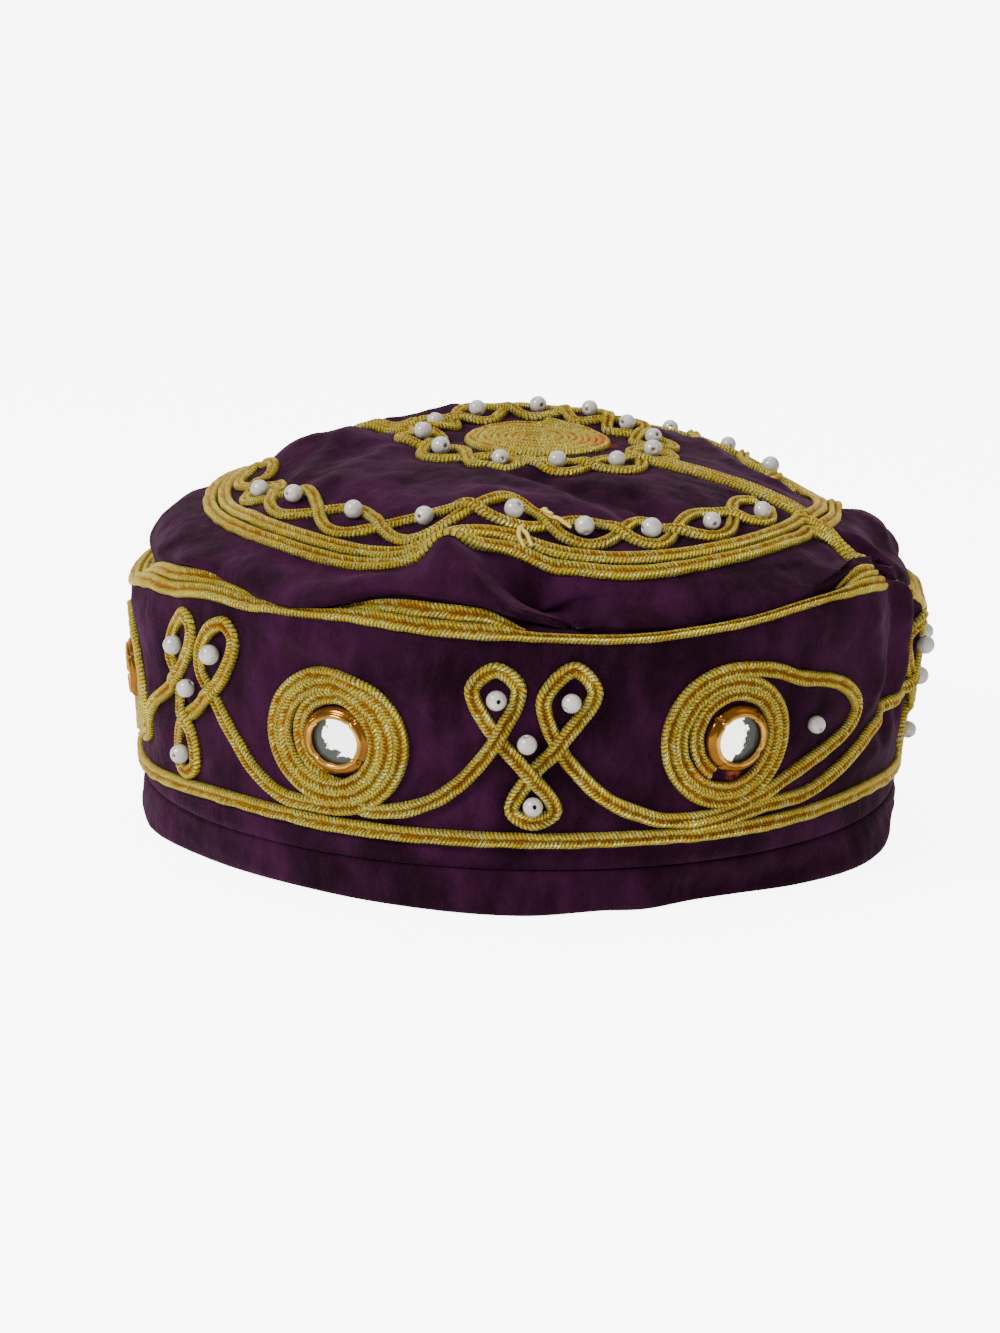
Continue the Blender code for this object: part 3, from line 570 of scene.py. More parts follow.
# Mesh steps. Columns of CROWN_ROWS: first distance, last distance, rows.
SIDE_COLUMNS = 720
SIDE_ROWS = 84
CROWN_COLUMNS = 640
CROWN_ROWS = ((1.5, 80, 70), (80.7, CROWN_SEAM, 26))
LINING_DISTANCES = (97.0, 92.0, 84.0, 72.0, 60.0, 40.0, 20.0, 1.5)
PROFILE_COLUMNS = 720
PROFILE_SAMPLES = 141
CORD_STEP = 0.42
SLOPE_STEP = 0.5
EYELET_SIDES = 96
PEARL_SIDES = 24
PEARL_ROWS = 16
STRAND_SIDES = 8

# Studio, in metres: the floor bends up into a backdrop behind the cap.
# Columns of LIGHTS: name, place, size, power, colour.
FLOOR_HALF_WIDTH = 4.0
FLOOR_FRONT = -3.0
FLOOR_BEND = 1.4
BEND_RADIUS = 0.6
BACKDROP_TOP = 3.2
WORLD_STRENGTH = 0.54
LIGHT_TARGET = (0, 0, 0.04)
LIGHTS = (
    ("key light", (-0.92, -0.62, 0.98), 0.4, 28.0, (1.0, 0.99, 0.96)),
    ("side light", (1.0, -0.35, 0.6), 0.6, 2.0, (1.0, 0.70, 0.42)),
    ("top light", (0.0, 0.25, 1.2), 0.8, 5.0, (1.0, 1.0, 1.0)),
)

CAMERA_TARGET = (-5.2, 0.0, 33.6)
CAMERA_DISTANCE = 650.0
CAMERA_RISE = math.radians(12.75)
CAMERA_ROLL = math.radians(1.05)
CAMERA_LENS = 71.3

# What the properties below have in common
LENGTH = {"subtype": "DISTANCE", "unit": "LENGTH"}
COLOUR = {"subtype": "COLOR", "size": 4, "min": 0, "max": 1}


class CapSizes(bpy.types.PropertyGroup):
    """Sizes of the parts that are sewn on"""

    cord_width: bpy.props.FloatProperty(
        name="Cord Width",
        description="Width of one braid cord",
        default=0.0034,
        min=0.001,
        **LENGTH,
    )
    cord_thickness: bpy.props.FloatProperty(
        name="Cord Thickness",
        description="How far a braid cord stands off the velvet",
        default=0.0015,
        min=0.0003,
        **LENGTH,
    )
    pearl_radius: bpy.props.FloatProperty(
        name="Pearl Radius",
        description="Radius of a sewn-on pearl",
        default=0.0022,
        min=0.0005,
        **LENGTH,
    )
    puff: bpy.props.FloatProperty(
        name="Velvet Puff",
        description="How far the velvet swells between its stitches",
        default=0.0011,
        min=0.0,
        **LENGTH,
    )


class CapColours(bpy.types.PropertyGroup):
    """Colours of the cap and the studio"""

    velvet_dark: bpy.props.FloatVectorProperty(
        name="Velvet, Smoothed",
        description="Velvet where its pile lies away from the light",
        default=(0.0070, 0.0006, 0.0042, 1),
        **COLOUR,
    )
    # The brushed colour also stands in for the pile's sheen highlights: painted sheen over the pile's
    # own tone.
    velvet_brushed_sheen: bpy.props.FloatVectorProperty(
        name="Velvet, Brushed",
        description="Velvet where its pile is brushed up",
        default=(0.036, 0.0054, 0.028, 1),
        **COLOUR,
    )
    gold_pale: bpy.props.FloatVectorProperty(
        name="Braid, Pale",
        description="Bright threads on the edges of the braid",
        default=(0.78, 0.60, 0.045, 1),
        **COLOUR,
    )
    gold_deep: bpy.props.FloatVectorProperty(
        name="Braid, Deep",
        description="Orange threads in the groove of the braid",
        default=(0.36, 0.13, 0.006, 1),
        **COLOUR,
    )
    ring_gold: bpy.props.FloatVectorProperty(
        name="Eyelet Gold",
        description="Plating of the eyelets",
        default=(0.56, 0.31, 0.060, 1),
        **COLOUR,
    )
    pearl_white: bpy.props.FloatVectorProperty(
        name="Pearl White",
        description="Coating of the pearls",
        default=(0.56, 0.54, 0.50, 1),
        **COLOUR,
    )
    floor_white: bpy.props.FloatVectorProperty(
        name="Floor",
        description="Pale studio floor",
        default=(0.90, 0.90, 0.90, 1),
        **COLOUR,
    )


# Cloth surfaces


def smooth_step(value):
    """0 up to 0, 1 from 1, and a smooth rise between them."""
    value = np.clip(value, 0, 1)
    return value * value * (3 - 2 * value)


def unit(vectors):
    """The vectors at length one."""
    return vectors / np.maximum(np.linalg.norm(vectors, axis=-1, keepdims=True), 1e-9)


def hermite(t, start, start_slope, end, end_slope):
    """A cubic from start to end with the given slopes there."""
    return (
        (2 * t**3 - 3 * t**2 + 1) * start
        + (t**3 - 2 * t**2 + t) * start_slope
        + (3 * t**2 - 2 * t**3) * end
        + (t**3 - t**2) * end_slope
    )


def around(rows, column, azimuth):
    """Smooth value of a table's column at an azimuth, the table running once round the cap."""
    places = np.array([row[0] for row in rows], float)
    values = np.array([row[column] for row in rows], float)
    places = np.concatenate([places[-2:] - 360, places, places[:2] + 360])
    values = np.concatenate([values[-2:], values, values[:2]])
    slopes = np.zeros(len(places))
    slopes[1:-1] = (values[2:] - values[:-2]) / (places[2:] - places[:-2])
    first = places[2]
    azimuth = (np.asarray(azimuth, float) - first) % 360 + first
    before = np.clip(np.searchsorted(places, azimuth, side="right") - 1, 1, len(places) - 3)
    width = places[before + 1] - places[before]
    t = (azimuth - places[before]) / width
    return hermite(
        t, values[before], width * slopes[before], values[before + 1], width * slopes[before + 1]
    )


def side_length(azimuth):
    """Cloth distance from the fold above the hem up to the seam with the crown."""
    return around(SIDE, 4, azimuth) - HEM_TOP + TRIM_WIDTH


def side_profiles():
    """Radii, heights and turning angles up the side, at even azimuths round the cap."""
    azimuth = np.arange(PROFILE_COLUMNS)[:, None] * 360 / PROFILE_COLUMNS
    length = side_length(azimuth)
    distance = np.linspace(0, 1, PROFILE_SAMPLES)[None] * length
    trim = length - TRIM_WIDTH
    high = 1 / (1 + np.exp(-(distance - LEAN_CHANGE) / LEAN_CHANGE_LENGTH))
    lean = -(around(SIDE, 2, azimuth) * (1 - high) + around(SIDE, 3, azimuth) * high)
    bend = 1 / (1 + np.exp(-(distance - trim - BEND_START) / BEND_LENGTH))
    angle = np.radians(lean * (1 - bend) + around(SIDE, 5, azimuth) * bend)
    step = length / (PROFILE_SAMPLES - 1)
    totals = []
    for rate in (np.sin(angle), np.cos(angle)):
        total = np.zeros_like(rate)
        total[:, 1:] = np.cumsum((rate[:, 1:] + rate[:, :-1]) / 2, axis=1) * step
        totals.append(total)
    return around(SIDE, 1, azimuth) - totals[0], HEM_TOP + totals[1], angle


SIDE_PROFILES = side_profiles()


def side_section(azimuth, distance):
    """Radius, height and turning angle of the side's cloth, at arrays of places."""
    azimuth, distance = np.broadcast_arrays(np.asarray(azimuth, float), np.asarray(distance, float))
    column = azimuth % 360 * PROFILE_COLUMNS / 360
    left = np.floor(column).astype(int)
    across = column - left
    left = left % PROFILE_COLUMNS
    right = (left + 1) % PROFILE_COLUMNS
    row = np.clip(distance / side_length(azimuth), 0, 1) * (PROFILE_SAMPLES - 1)
    low = np.minimum(np.floor(row).astype(int), PROFILE_SAMPLES - 2)
    up = row - low
    return [
        (values[left, low] * (1 - up) + values[left, low + 1] * up) * (1 - across)
        + (values[right, low] * (1 - up) + values[right, low + 1] * up) * across
        for values in SIDE_PROFILES
    ]


def turned(azimuth, radius, height):
    """Points at azimuths, radii and heights."""
    angle = np.radians(azimuth)
    return np.stack(np.broadcast_arrays(radius * np.sin(angle), -radius * np.cos(angle), height), -1)


def ridges(folds, x, y):
    """Height of a table's folds over flat places."""
    lift = np.zeros(np.shape(x))
    for start_x, start_y, end_x, end_y, height, width in folds:
        run_x = end_x - start_x
        run_y = end_y - start_y
        along = ((x - start_x) * run_x + (y - start_y) * run_y) / (run_x**2 + run_y**2)
        along = np.clip(along, 0, 1)
        away = (x - start_x - along * run_x) ** 2 + (y - start_y - along * run_y) ** 2
        lift = lift + height * np.exp(-away / width**2)
    return lift


def wrapped(x):
    """Millimetres round the cap, taken into the turn from -180 to 180 degrees."""
    half = 180 * SIDE_PER_DEGREE
    return (x + half) % (2 * half) - half


def side_surface(flat, puff=0.0):
    """Points on the side's cloth. flat holds millimetres round the cap and up its cloth."""
    azimuth = flat[..., 0] / SIDE_PER_DEGREE
    radius, height, angle = side_section(azimuth, flat[..., 1])
    lift = ridges(SIDE_FOLDS, wrapped(flat[..., 0]), flat[..., 1])
    fade = smooth_step(flat[..., 1] / 5) * smooth_step((side_length(azimuth) - flat[..., 1]) / 8)
    lift = lift * fade + puff
    return turned(azimuth, radius + np.cos(angle) * lift, height + np.sin(angle) * lift)


def dome_fit():
    """The crown's fall as a curve of its distance from the middle, the same both ways."""
    distances = [row[0] for row in DOME]
    falls = [row[1] for row in DOME]
    mirrored = [-distance for distance in distances]
    return np.polyfit(distances + mirrored, falls + falls, DOME_DEGREE)


DOME_FIT = dome_fit()
DOME_SLOPE = np.polyder(DOME_FIT)


def crown_surface(flat, puff=0.0):
    """Points on the crown's cloth. flat holds the crown's x and y when it is laid flat."""
    distance = np.hypot(flat[..., 0], flat[..., 1])
    azimuth = np.degrees(np.arctan2(flat[..., 0], -flat[..., 1]))
    fall = around(CROWN, 1, azimuth)
    radius = np.minimum(distance, CROWN_EDGE)
    tilt = CROWN_TILT * np.cos(np.radians(azimuth))
    height = CROWN_MIDDLE_HEIGHT - fall * np.polyval(DOME_FIT, radius) - tilt * radius
    seam_radius, seam_height, _ = side_section(azimuth, side_length(azimuth))
    edge_height = CROWN_MIDDLE_HEIGHT - fall * np.polyval(DOME_FIT, CROWN_EDGE) - tilt * CROWN_EDGE
    edge_slope = -fall * np.polyval(DOME_SLOPE, CROWN_EDGE) - tilt
    reach = np.hypot(seam_radius - CROWN_EDGE, edge_height - seam_height)
    slope_length = np.hypot(1, edge_slope)
    t = np.clip((distance - CROWN_EDGE) / (CROWN_SEAM - CROWN_EDGE), 0, 1)
    side_radius = hermite(t, CROWN_EDGE, reach / slope_length, seam_radius, 0 * reach)
    side_height = hermite(
        t, edge_height, reach * edge_slope / slope_length, seam_height, -0.9 * reach
    )
    past_edge = distance > CROWN_EDGE
    points = turned(
        azimuth, np.where(past_edge, side_radius, radius), np.where(past_edge, side_height, height)
    )
    turn = np.radians(np.interp(distance, *zip(*LIFT_TURN)))
    lift = ridges(CROWN_FOLDS, flat[..., 0], flat[..., 1])
    lift = lift * smooth_step((CROWN_SEAM - distance) / SEAM_FADE) + puff
    hang = smooth_step((CROWN_SEAM + OVERHANG_END - distance) / OVERHANG_END_FADE)
    hang = hang * smooth_step((distance - OVERHANG_START) / OVERHANG_START_FADE)
    over = around(OVERHANG, 1, azimuth) * hang
    lift = lift + over
    return points + turned(azimuth, np.cos(turn) * lift, np.sin(turn) * lift - OVERHANG_DROOP * over)


def normals_of(surface, flat):
    """Unit normals of a cloth surface at flat places, pointing out of the cap."""
    shift_x = np.array([SLOPE_STEP, 0.0])
    shift_y = np.array([0.0, SLOPE_STEP])
    across = surface(flat + shift_x) - surface(flat - shift_x)
    up = surface(flat + shift_y) - surface(flat - shift_y)
    return unit(np.cross(across, up))


def side_flat(azimuth, height):
    """Flat place on the side at an azimuth and a height above the rim."""
    return (azimuth * SIDE_PER_DEGREE, height - HEM_TOP)


def crown_flat(azimuth, distance):
    """Flat places on the crown at azimuths and distances from its middle."""
    angle = np.radians(azimuth)
    return np.stack(np.broadcast_arrays(distance * np.sin(angle), -distance * np.cos(angle)), -1)


# Routes of the cords


def even_route(points, step, closed=False):
    """Evenly spaced points along a line of flat points."""
    points = np.asarray(points, float)
    if closed:
        points = np.concatenate([points, points[:1]])
    run = np.concatenate([[0], np.cumsum(np.linalg.norm(np.diff(points, axis=0), axis=1))])
    count = 2 * max(1, round(run[-1] / step / 2)) + 1
    marks = np.linspace(0, run[-1], count)
    route = np.stack([np.interp(marks, run, points[:, k]) for k in range(2)], -1)
    return route[:-1] if closed else route


def smooth_route(points, step):
    """Evenly spaced points along a smooth curve through the given flat points."""
    points = np.array(points, float)
    before = 2 * points[:1] - points[1:2]
    after = 2 * points[-1:] - points[-2:-1]
    ext = np.concatenate([before, points, after])
    fine = []
    for i in range(1, len(ext) - 2):
        gaps = [max(np.linalg.norm(ext[i + k] - ext[i + k - 1]), 1e-6) for k in range(3)]
        start_slope = (ext[i + 1] - ext[i - 1]) / (gaps[0] + gaps[1]) * gaps[1]
        end_slope = (ext[i + 2] - ext[i]) / (gaps[1] + gaps[2]) * gaps[1]
        t = np.linspace(0, 1, 40, endpoint=False)[:, None]
        fine.append(hermite(t, ext[i], start_slope, ext[i + 1], end_slope))
    fine.append(ext[-2:-1])
    return even_route(np.concatenate(fine), step)


def crossing_places(first, second, same):
    """Index pairs where two flat routes cross."""
    a = first[:-1, None, :]
    b = second[None, :-1, :]
    run_a = (first[1:] - first[:-1])[:, None, :]
    run_b = (second[1:] - second[:-1])[None, :, :]
    denominator = run_a[..., 0] * run_b[..., 1] - run_a[..., 1] * run_b[..., 0]
    denominator = np.where(np.abs(denominator) < 1e-12, 1e-12, denominator)
    gap = b - a
    t = (gap[..., 0] * run_b[..., 1] - gap[..., 1] * run_b[..., 0]) / denominator
    u = (gap[..., 0] * run_a[..., 1] - gap[..., 1] * run_a[..., 0]) / denominator
    hit = (t >= 0) & (t < 1) & (u >= 0) & (u < 1)
    if same:
        index = np.arange(len(first) - 1)
        hit &= (index[None, :] - index[:, None]) > 3
    return np.argwhere(hit)


def weave(routes, height, reach):
    """Lifts along each route that carry it over and under the others by turns."""
    events = [[] for _ in routes]
    number = 0
    for i, first in enumerate(routes):
        for k in range(i, len(routes)):
            for here, there in crossing_places(first, routes[k], i == k):
                events[i].append((here, number))
                events[k].append((there, number))
                number += 1
    over = {}
    lifts = []
    for route, marks in zip(routes, events):
        step = np.linalg.norm(route[1] - route[0])
        lift = np.zeros(len(route))
        last = False
        for place, crossing in sorted(marks):
            last = not over[crossing] if crossing in over else not last
            over[crossing] = last
            if last:
                away = (np.arange(len(route)) - place) * step
                lift = np.maximum(lift, height * np.exp(-((away / reach) ** 2)))
        lifts.append(lift)
    return lifts


def band_route(height_at, start=-180.0, end=180.0):
    """A route round the side, at a distance up it that follows the azimuth."""
    count = 2 * round((end - start) * SIDE_PER_DEGREE / CORD_STEP / 2)
    azimuth = np.linspace(start, end, count, endpoint=False)
    return np.stack([azimuth * SIDE_PER_DEGREE, height_at(azimuth)], -1)


def lower_border(azimuth):
    """Distance up the side of the cord above the hem, in mm."""
    return around(LOWER_BORDER, 1, azimuth)


def border_outer(azimuth):
    """Distance from the crown's middle to the border's outer edge, in mm."""
    return around(CROWN, 2, azimuth)


def scroll_route(index):
    """A scroll's whole run: the first goes on round the lobe, and the last was sewn out of true."""
    if index == len(SCROLLS) - 1:
        return smooth_route([side_flat(*place) for place in CROOKED_SCROLL], CORD_STEP)
    middle = SCROLLS[index]
    mirrors = [row[0] for row in SPIRALS]
    right = min((mirror - middle) % 360 for mirror in mirrors)
    left = min((middle - mirror) % 360 for mirror in mirrors)
    level = LEG_CENTRE + HEM_TOP
    if index == 1:
        places = LONG_LEG
    else:
        places = ((middle - left + LEG_STOPS[0], level + LEG_STOPS[2]),)
        places += tuple((middle + x, y) for x, y in LEFT_LEG)
    places += tuple((middle + x, y) for x, y in LEFT_LOOP + LOWER_LOOP + RIGHT_LOOP)
    if index == 0:
        places += tuple((middle + x, y) for x, y in RIGHT_LEG[:2]) + LOBE
    else:
        places += tuple((middle + x, y) for x, y in RIGHT_LEG)
        places += ((middle + right - LEG_STOPS[1], level),)
    return smooth_route([side_flat(x, y) for x, y in places], CORD_STEP)


def spiral_route(row):
    """A coil wound clockwise from its eyelet out to its edge."""
    azimuth, height, half_width, half_height, left, start, end, inner = row[:8]
    mirror = np.array(side_flat(azimuth, height))
    part = np.linspace(0, 1, 900)[:, None]
    angle = np.radians(start + (end - start) * part)
    reach = inner + (np.array([[half_width, half_height]]) - inner) * part
    middle = mirror - np.array([[left, 0.0]]) * np.minimum(part * 3.5, 1)
    points = middle + reach * np.concatenate([np.cos(angle), np.sin(angle)], axis=1)
    return even_route(points, CORD_STEP)


def border_routes(width):
    """Cords of the border: the front's turn out along the seams, and the back's end beside them."""
    routes = []
    for shift in (0.5, 1.5):
        spread = (BORDER_SPREAD - shift) * width
        lines = []
        azimuths = []
        for seam, side in ((SPOKES[1], 1), (SPOKES[0], -1)):
            ring = float(border_outer(seam)) - shift * width
            aside = crown_flat(seam + 90, side * spread)
            reaches = (ring + BORDER_TURN, ring + BORDER_STRAIGHT, CROWN_SEAM - BORDER_END)
            lines.append([crown_flat(seam, reach) + aside for reach in reaches])
            azimuths.append(seam + side * math.degrees((spread + BORDER_TURN) / ring))
        azimuth = np.linspace(*azimuths, 60)
        ring = crown_flat(azimuth, border_outer(azimuth) - shift * width)
        routes.append(smooth_route(np.concatenate([lines[0][::-1], ring, lines[1]]), CORD_STEP))
        azimuth = np.linspace(SPOKES[0], SPOKES[1] + 360, 400)
        routes.append(even_route(crown_flat(azimuth, border_outer(azimuth) - shift * width), CORD_STEP))
    for seam, start in zip(SPOKES, SPOKE_STARTS):
        reach = float(border_outer(seam)) - SPOKE_END * width
        for side in (1, -1):
            aside = crown_flat(seam + 90, side * width / 2)
            ends = [crown_flat(seam, start) + aside, crown_flat(seam, reach) + aside]
            routes.append(even_route(ends, CORD_STEP))
    return routes


def medallion_coil_route(width):
    """The flat coil at the middle, wound from its centre out."""
    pitch = width * COIL_PITCH
    turns = (MEDALLION_RADIUS - width / 2) / pitch
    angle = np.linspace(0.25 * math.pi, 2 * math.pi * turns, 1200)
    radius = pitch * angle / (2 * math.pi) + COIL_EYE
    points = np.stack([radius * np.cos(angle), radius * np.sin(angle)], -1)
    return even_route(points + np.array(MEDALLION_CENTRE), CORD_STEP)


def medallion_loop_routes():
    """Two cords round the coil that cross between its pearls."""
    spots = np.array(MEDALLION_PEARLS, float) - MEDALLION_CENTRE
    theta = np.degrees(np.arctan2(spots[:, 0], -spots[:, 1])) % 360
    order = np.argsort(theta)
    theta = theta[order]
    reach = np.hypot(*spots[order].T)
    crossings = (theta + np.append(theta[1:], theta[0] + 360)) / 2
    crossings = np.insert(crossings, 0, crossings[-1] - 360)
    azimuth = np.linspace(crossings[0], crossings[-1], 1440, endpoint=False)
    swing = LOOP_SWING * np.sin(np.pi * np.interp(azimuth, crossings, np.arange(len(crossings))))
    middle = np.interp(azimuth, theta, reach, period=360)
    return [
        even_route(crown_flat(azimuth, middle + side * swing) + MEDALLION_CENTRE, CORD_STEP, closed=True)
        for side in (1, -1)
    ]


def wave_routes(turn):
    """Two cords that cross in a chain of cells inside the border."""
    crossings = np.array(WAVE_CROSSINGS, float) + turn
    azimuth = np.linspace(crossings[0], crossings[-1], 1400)
    swing = WAVE_SWING * np.sin(np.pi * np.interp(azimuth, crossings, np.arange(len(crossings))))
    middle = border_outer(azimuth) - WAVE_FROM_BORDER
    return [even_route(crown_flat(azimuth, middle + side * swing), CORD_STEP) for side in (1, -1)]


# Meshes


def new_object(name, vertices, faces, material, nodes, run=None):
    """An object from vertices in millimetres, riding on the cap and standing for its CAD nodes."""
    mesh = bpy.data.meshes.new(name)
    points = (np.asarray(vertices, float) + CENTRING) * MM
    mesh.from_pydata(points.tolist(), [], faces)
    if run is not None:
        layer = mesh.uv_layers.new(name="run")
        loops = np.zeros(len(mesh.loops), np.int32)
        mesh.loops.foreach_get("vertex_index", loops)
        layer.data.foreach_set("uv", np.asarray(run, np.float32)[loops].ravel())
    mesh.shade_smooth()
    mesh.materials.append(material)
    piece = bpy.data.objects.new(name, mesh)
    bpy.context.scene.collection.objects.link(piece)
    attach(piece, "root")
    if nodes:
        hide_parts(*nodes)
    return piece


def grid_faces(columns, rows, closed_columns=True, closed_rows=False):
    """Quads between columns of equal rows, numbered column by column."""
    faces = []
    for i in range(columns if closed_columns else columns - 1):
        here = i * rows
        there = (i + 1) % columns * rows
        for k in range(rows if closed_rows else rows - 1):
            after = (k + 1) % rows
            faces.append((here + k, there + k, there + after, here + after))
    return faces


def tube_faces(count, sides, closed=False):
    """Quads of a tube of rings, with both ends covered unless it runs back into itself."""
    faces = grid_faces(count, sides, closed_columns=closed, closed_rows=True)
    if not closed:
        faces.append(tuple(range(sides)))
        faces.append(tuple(reversed(range((count - 1) * sides, count * sides))))
    return faces


def cord_frames(surface, route, closed):
    """Middle, direction across and normal of a cord at every step of its route."""
    centre = surface(route)
    if closed:
        along = unit(np.roll(centre, -1, axis=0) - np.roll(centre, 1, axis=0))
    else:
        along = unit(np.gradient(centre, axis=0))
    across = unit(np.cross(along, normals_of(surface, route)))
    return centre, across, np.cross(across, along)


def cord_mesh(
    surface, route, sizes, lift=0.0, closed=False, width=1.0, sink=(END_SLOPE, END_SLOPE), seed=0.0
):
    """Vertices, faces and run coordinates of a cord laid along a flat route on the cloth.

    Each ring of points runs back from the groove to both edges, as the threads of the braid do, and
    every other ring stands out at one edge, so the edges are toothed. sink holds how long a stretch
    of each end slopes down into the cloth.
    """
    half = sizes.cord_width / MM / 2 * np.asarray(width)
    thickness = sizes.cord_thickness / MM
    count = len(route)
    frames = cord_frames(surface, route, closed)
    steps = np.linalg.norm(np.diff(frames[0], axis=0), axis=1)
    run = np.concatenate([[0], np.cumsum(steps)])
    rise = np.zeros(count) + lift - CORD_BEDDING
    for length, away in zip(sink, (run, run[-1] - run)):
        if length and not closed:
            rise = rise - END_DEPTH * (1 - smooth_step(away / length))
    index = np.arange(count)
    wobble = np.array([noise.noise((i * CORD_STEP / WOBBLE_LENGTH, seed, 3.1)) for i in index])
    tooth = np.where(index % 2, -TOOTH, TOOTH)
    columns = []
    for place, height in CORD_OUTLINE:
        away = index - THREAD_SLANT * abs(place) / CORD_STEP
        if closed:
            low = np.floor(away).astype(int) % count
            high = (low + 1) % count
        else:
            away = np.clip(away, 0, count - 1.001)
            low = np.floor(away).astype(int)
            high = low + 1
        share = (away - np.floor(away))[:, None]
        centre, across, normal = [
            values[low] * (1 - share) + values[high] * share for values in frames
        ]
        edge = tooth if place >= 0 else -tooth
        stand = place * half * (1 + 0.09 * wobble + place**2 * edge) + 0.12 * wobble
        swell = height * thickness * (1 + 0.10 * wobble + min(height * 2, 1) * edge) + rise
        columns.append(centre + across * stand[:, None] + normal * swell[:, None])
    sides = len(CORD_OUTLINE)
    vertices = np.stack(columns, axis=1).reshape(-1, 3)
    u = np.broadcast_to(np.linspace(-1, 1, sides)[None], (count, sides))
    v = np.broadcast_to(index[:, None] * THREADS_A_STEP, (count, sides)) + round(seed * 41)
    return vertices, tube_faces(count, sides, closed), np.stack([u, v], -1).reshape(-1, 2)


def joined(shapes):
    """One list of vertices, faces and run coordinates from several."""
    vertices = []
    faces = []
    run = []
    start = 0
    for shape in shapes:
        vertices.append(shape[0])
        faces.extend(tuple(index + start for index in face) for face in shape[1])
        run.append(shape[2])
        start += len(shape[0])
    return np.concatenate(vertices), faces, np.concatenate(run)


def side_routes():
    """Every cord route on the side, used to sew the velvet down along it."""
    routes = [scroll_route(index) for index in range(len(SCROLLS))]
    routes += [spiral_route(row) for row in SPIRALS]
    routes.append(band_route(lower_border))
    return routes


def crown_routes(sizes):
    """Every cord route on the crown, used to sew the velvet down along it."""
    width = sizes.cord_width / MM
    routes = wave_routes(0.0) + wave_routes(WAVE_TURN)
    routes += [medallion_coil_route(width)] + medallion_loop_routes() + border_routes(width)
    return routes


def puff_over(flat, anchors, puff, reach, seam):
    """Swelling of the velvet: none along its stitches, full away from them, with small dimples."""
    tree = kdtree.KDTree(len(anchors))
    for index, place in enumerate(anchors):
        tree.insert((place[0], place[1], 0.0), index)
    tree.balance()
    lift = np.zeros(flat.shape[:-1])
    for index in np.ndindex(lift.shape):
        x, y = flat[index]
        away = tree.find((x, y, 0.0))[2]
        swell = 1 - math.exp(-((max(away - STITCH_HALF_WIDTH, 0) / reach) ** 2))
        ripple = noise.noise((x / 9.0, y / 9.0, 0.7)) + 0.5 * noise.noise((x / 3.6, y / 3.6, 5.2))
        lift[index] = puff * (swell * (0.75 + 0.6 * ripple) - 0.15 * (1 - swell))
    return lift * seam


def mark_stains(piece, surface, stains):
    """Records on a piece's points how far stray dye marks them."""
    points = np.zeros(len(piece.data.vertices) * 3)
    piece.data.vertices.foreach_get("co", points)
    points = points.reshape(-1, 3) / MM - CENTRING
    mark = np.zeros(len(points), np.float32)
    for x, y, radius, strength in stains:
        away = np.linalg.norm(points - surface(np.array([(x, y)], float)), axis=1)
        mark = np.maximum(mark, strength * (1 - smooth_step(away / radius)))
    piece.data.attributes.new("stain", "FLOAT", "POINT").data.foreach_set("value", mark)


def hollow_bead(radius, bore, across, rows):
    """A bead with a bore along Z, as vertices and faces."""
    start = math.asin(bore / radius)
    profile = [
        (radius * math.sin(angle), radius * math.cos(angle))
        for angle in np.linspace(start, math.pi - start, rows)
    ]
    depth = profile[-1][1] * 0.5
    profile += [(bore * 0.8, depth), (bore * 0.8, -depth)]
    vertices = []
    for i in range(across):
        turn = 2 * math.pi * i / across
        vertices += [(out * math.cos(turn), out * math.sin(turn), up) for out, up in profile]
    faces = grid_faces(across, len(profile), closed_rows=True)
    return np.array(vertices), [(a, d, c, b) for a, b, c, d in faces]


# Materials

# Colours inside the finishes, beside those that the panel offers
WHITE = (1.0, 1.0, 1.0, 1)
BLACK = (0.0, 0.0, 0.0, 1)
VELVET_SHEEN = (0.56, 0.22, 0.44, 1)
VELVET_STAIN = (0.42, 0.10, 0.02, 1)
BRAID_GREENISH = (0.46, 0.41, 0.022, 1)
BRAID_GLINT = (1.0, 0.93, 0.35, 1)
BRAID_OCHRE = (0.50, 0.27, 0.015, 1)
BRAID_SHADOW = (0.050, 0.032, 0.003, 1)
BRAID_STAIN = (0.58, 0.13, 0.004, 1)
BRAID_SHINE = (0.86, 0.62, 0.20, 1)
# Painted shade for the eyelets' outer slope and their inside
EYELET_SLOPE_PAINTED_SHADE = (0.22, 0.085, 0.010, 1)
EYELET_INSIDE_PAINTED_SHADE = (0.10, 0.055, 0.02, 1)
EYELET_TARNISH = (0.11, 0.045, 0.010, 1)
EYELET_SHINE = (0.90, 0.60, 0.25, 1)
# Mirror colours: the silver, and the painted dark reflection at one edge
MIRROR_SILVER = (0.96, 0.96, 0.95, 1)
MIRROR_PAINTED_DARK = (0.05, 0.055, 0.05, 1)
PEARL_WORN = (0.44, 0.41, 0.39, 1)
PEARL_RIM_PAINTED_SHADE = (0.20, 0.18, 0.18, 1)
THREAD_CREAM = (0.58, 0.42, 0.08, 1)
FLOOR_LIGHT = (0.09, 0.09, 0.09, 1)

# Masks of the wear group. Columns: input, its default, output, noise at the mask's start and full.
WEAR_MASKS = (
    ("Patch Size", 40.0, "Patches", 0.36, 0.66),
    ("Dust Size", 900.0, "Dust", 0.60, 0.78),
)


def add_node(tree, kind, **values):
    """A new node with its properties set."""
    node = tree.nodes.new(kind)
    for name, value in values.items():
        setattr(node, name, value)
    return node


def set_inputs(node, **values):
    """Sets a node's sockets by their names, with an underscore for each space."""
    for name, value in values.items():
        node.inputs[name.replace("_", " ")].default_value = value


def feed(tree, source, target):
    """Links a socket to a target, or gives the target a plain value."""
    if isinstance(source, bpy.types.NodeSocket):
        tree.links.new(source, target)
    else:
        target.default_value = source


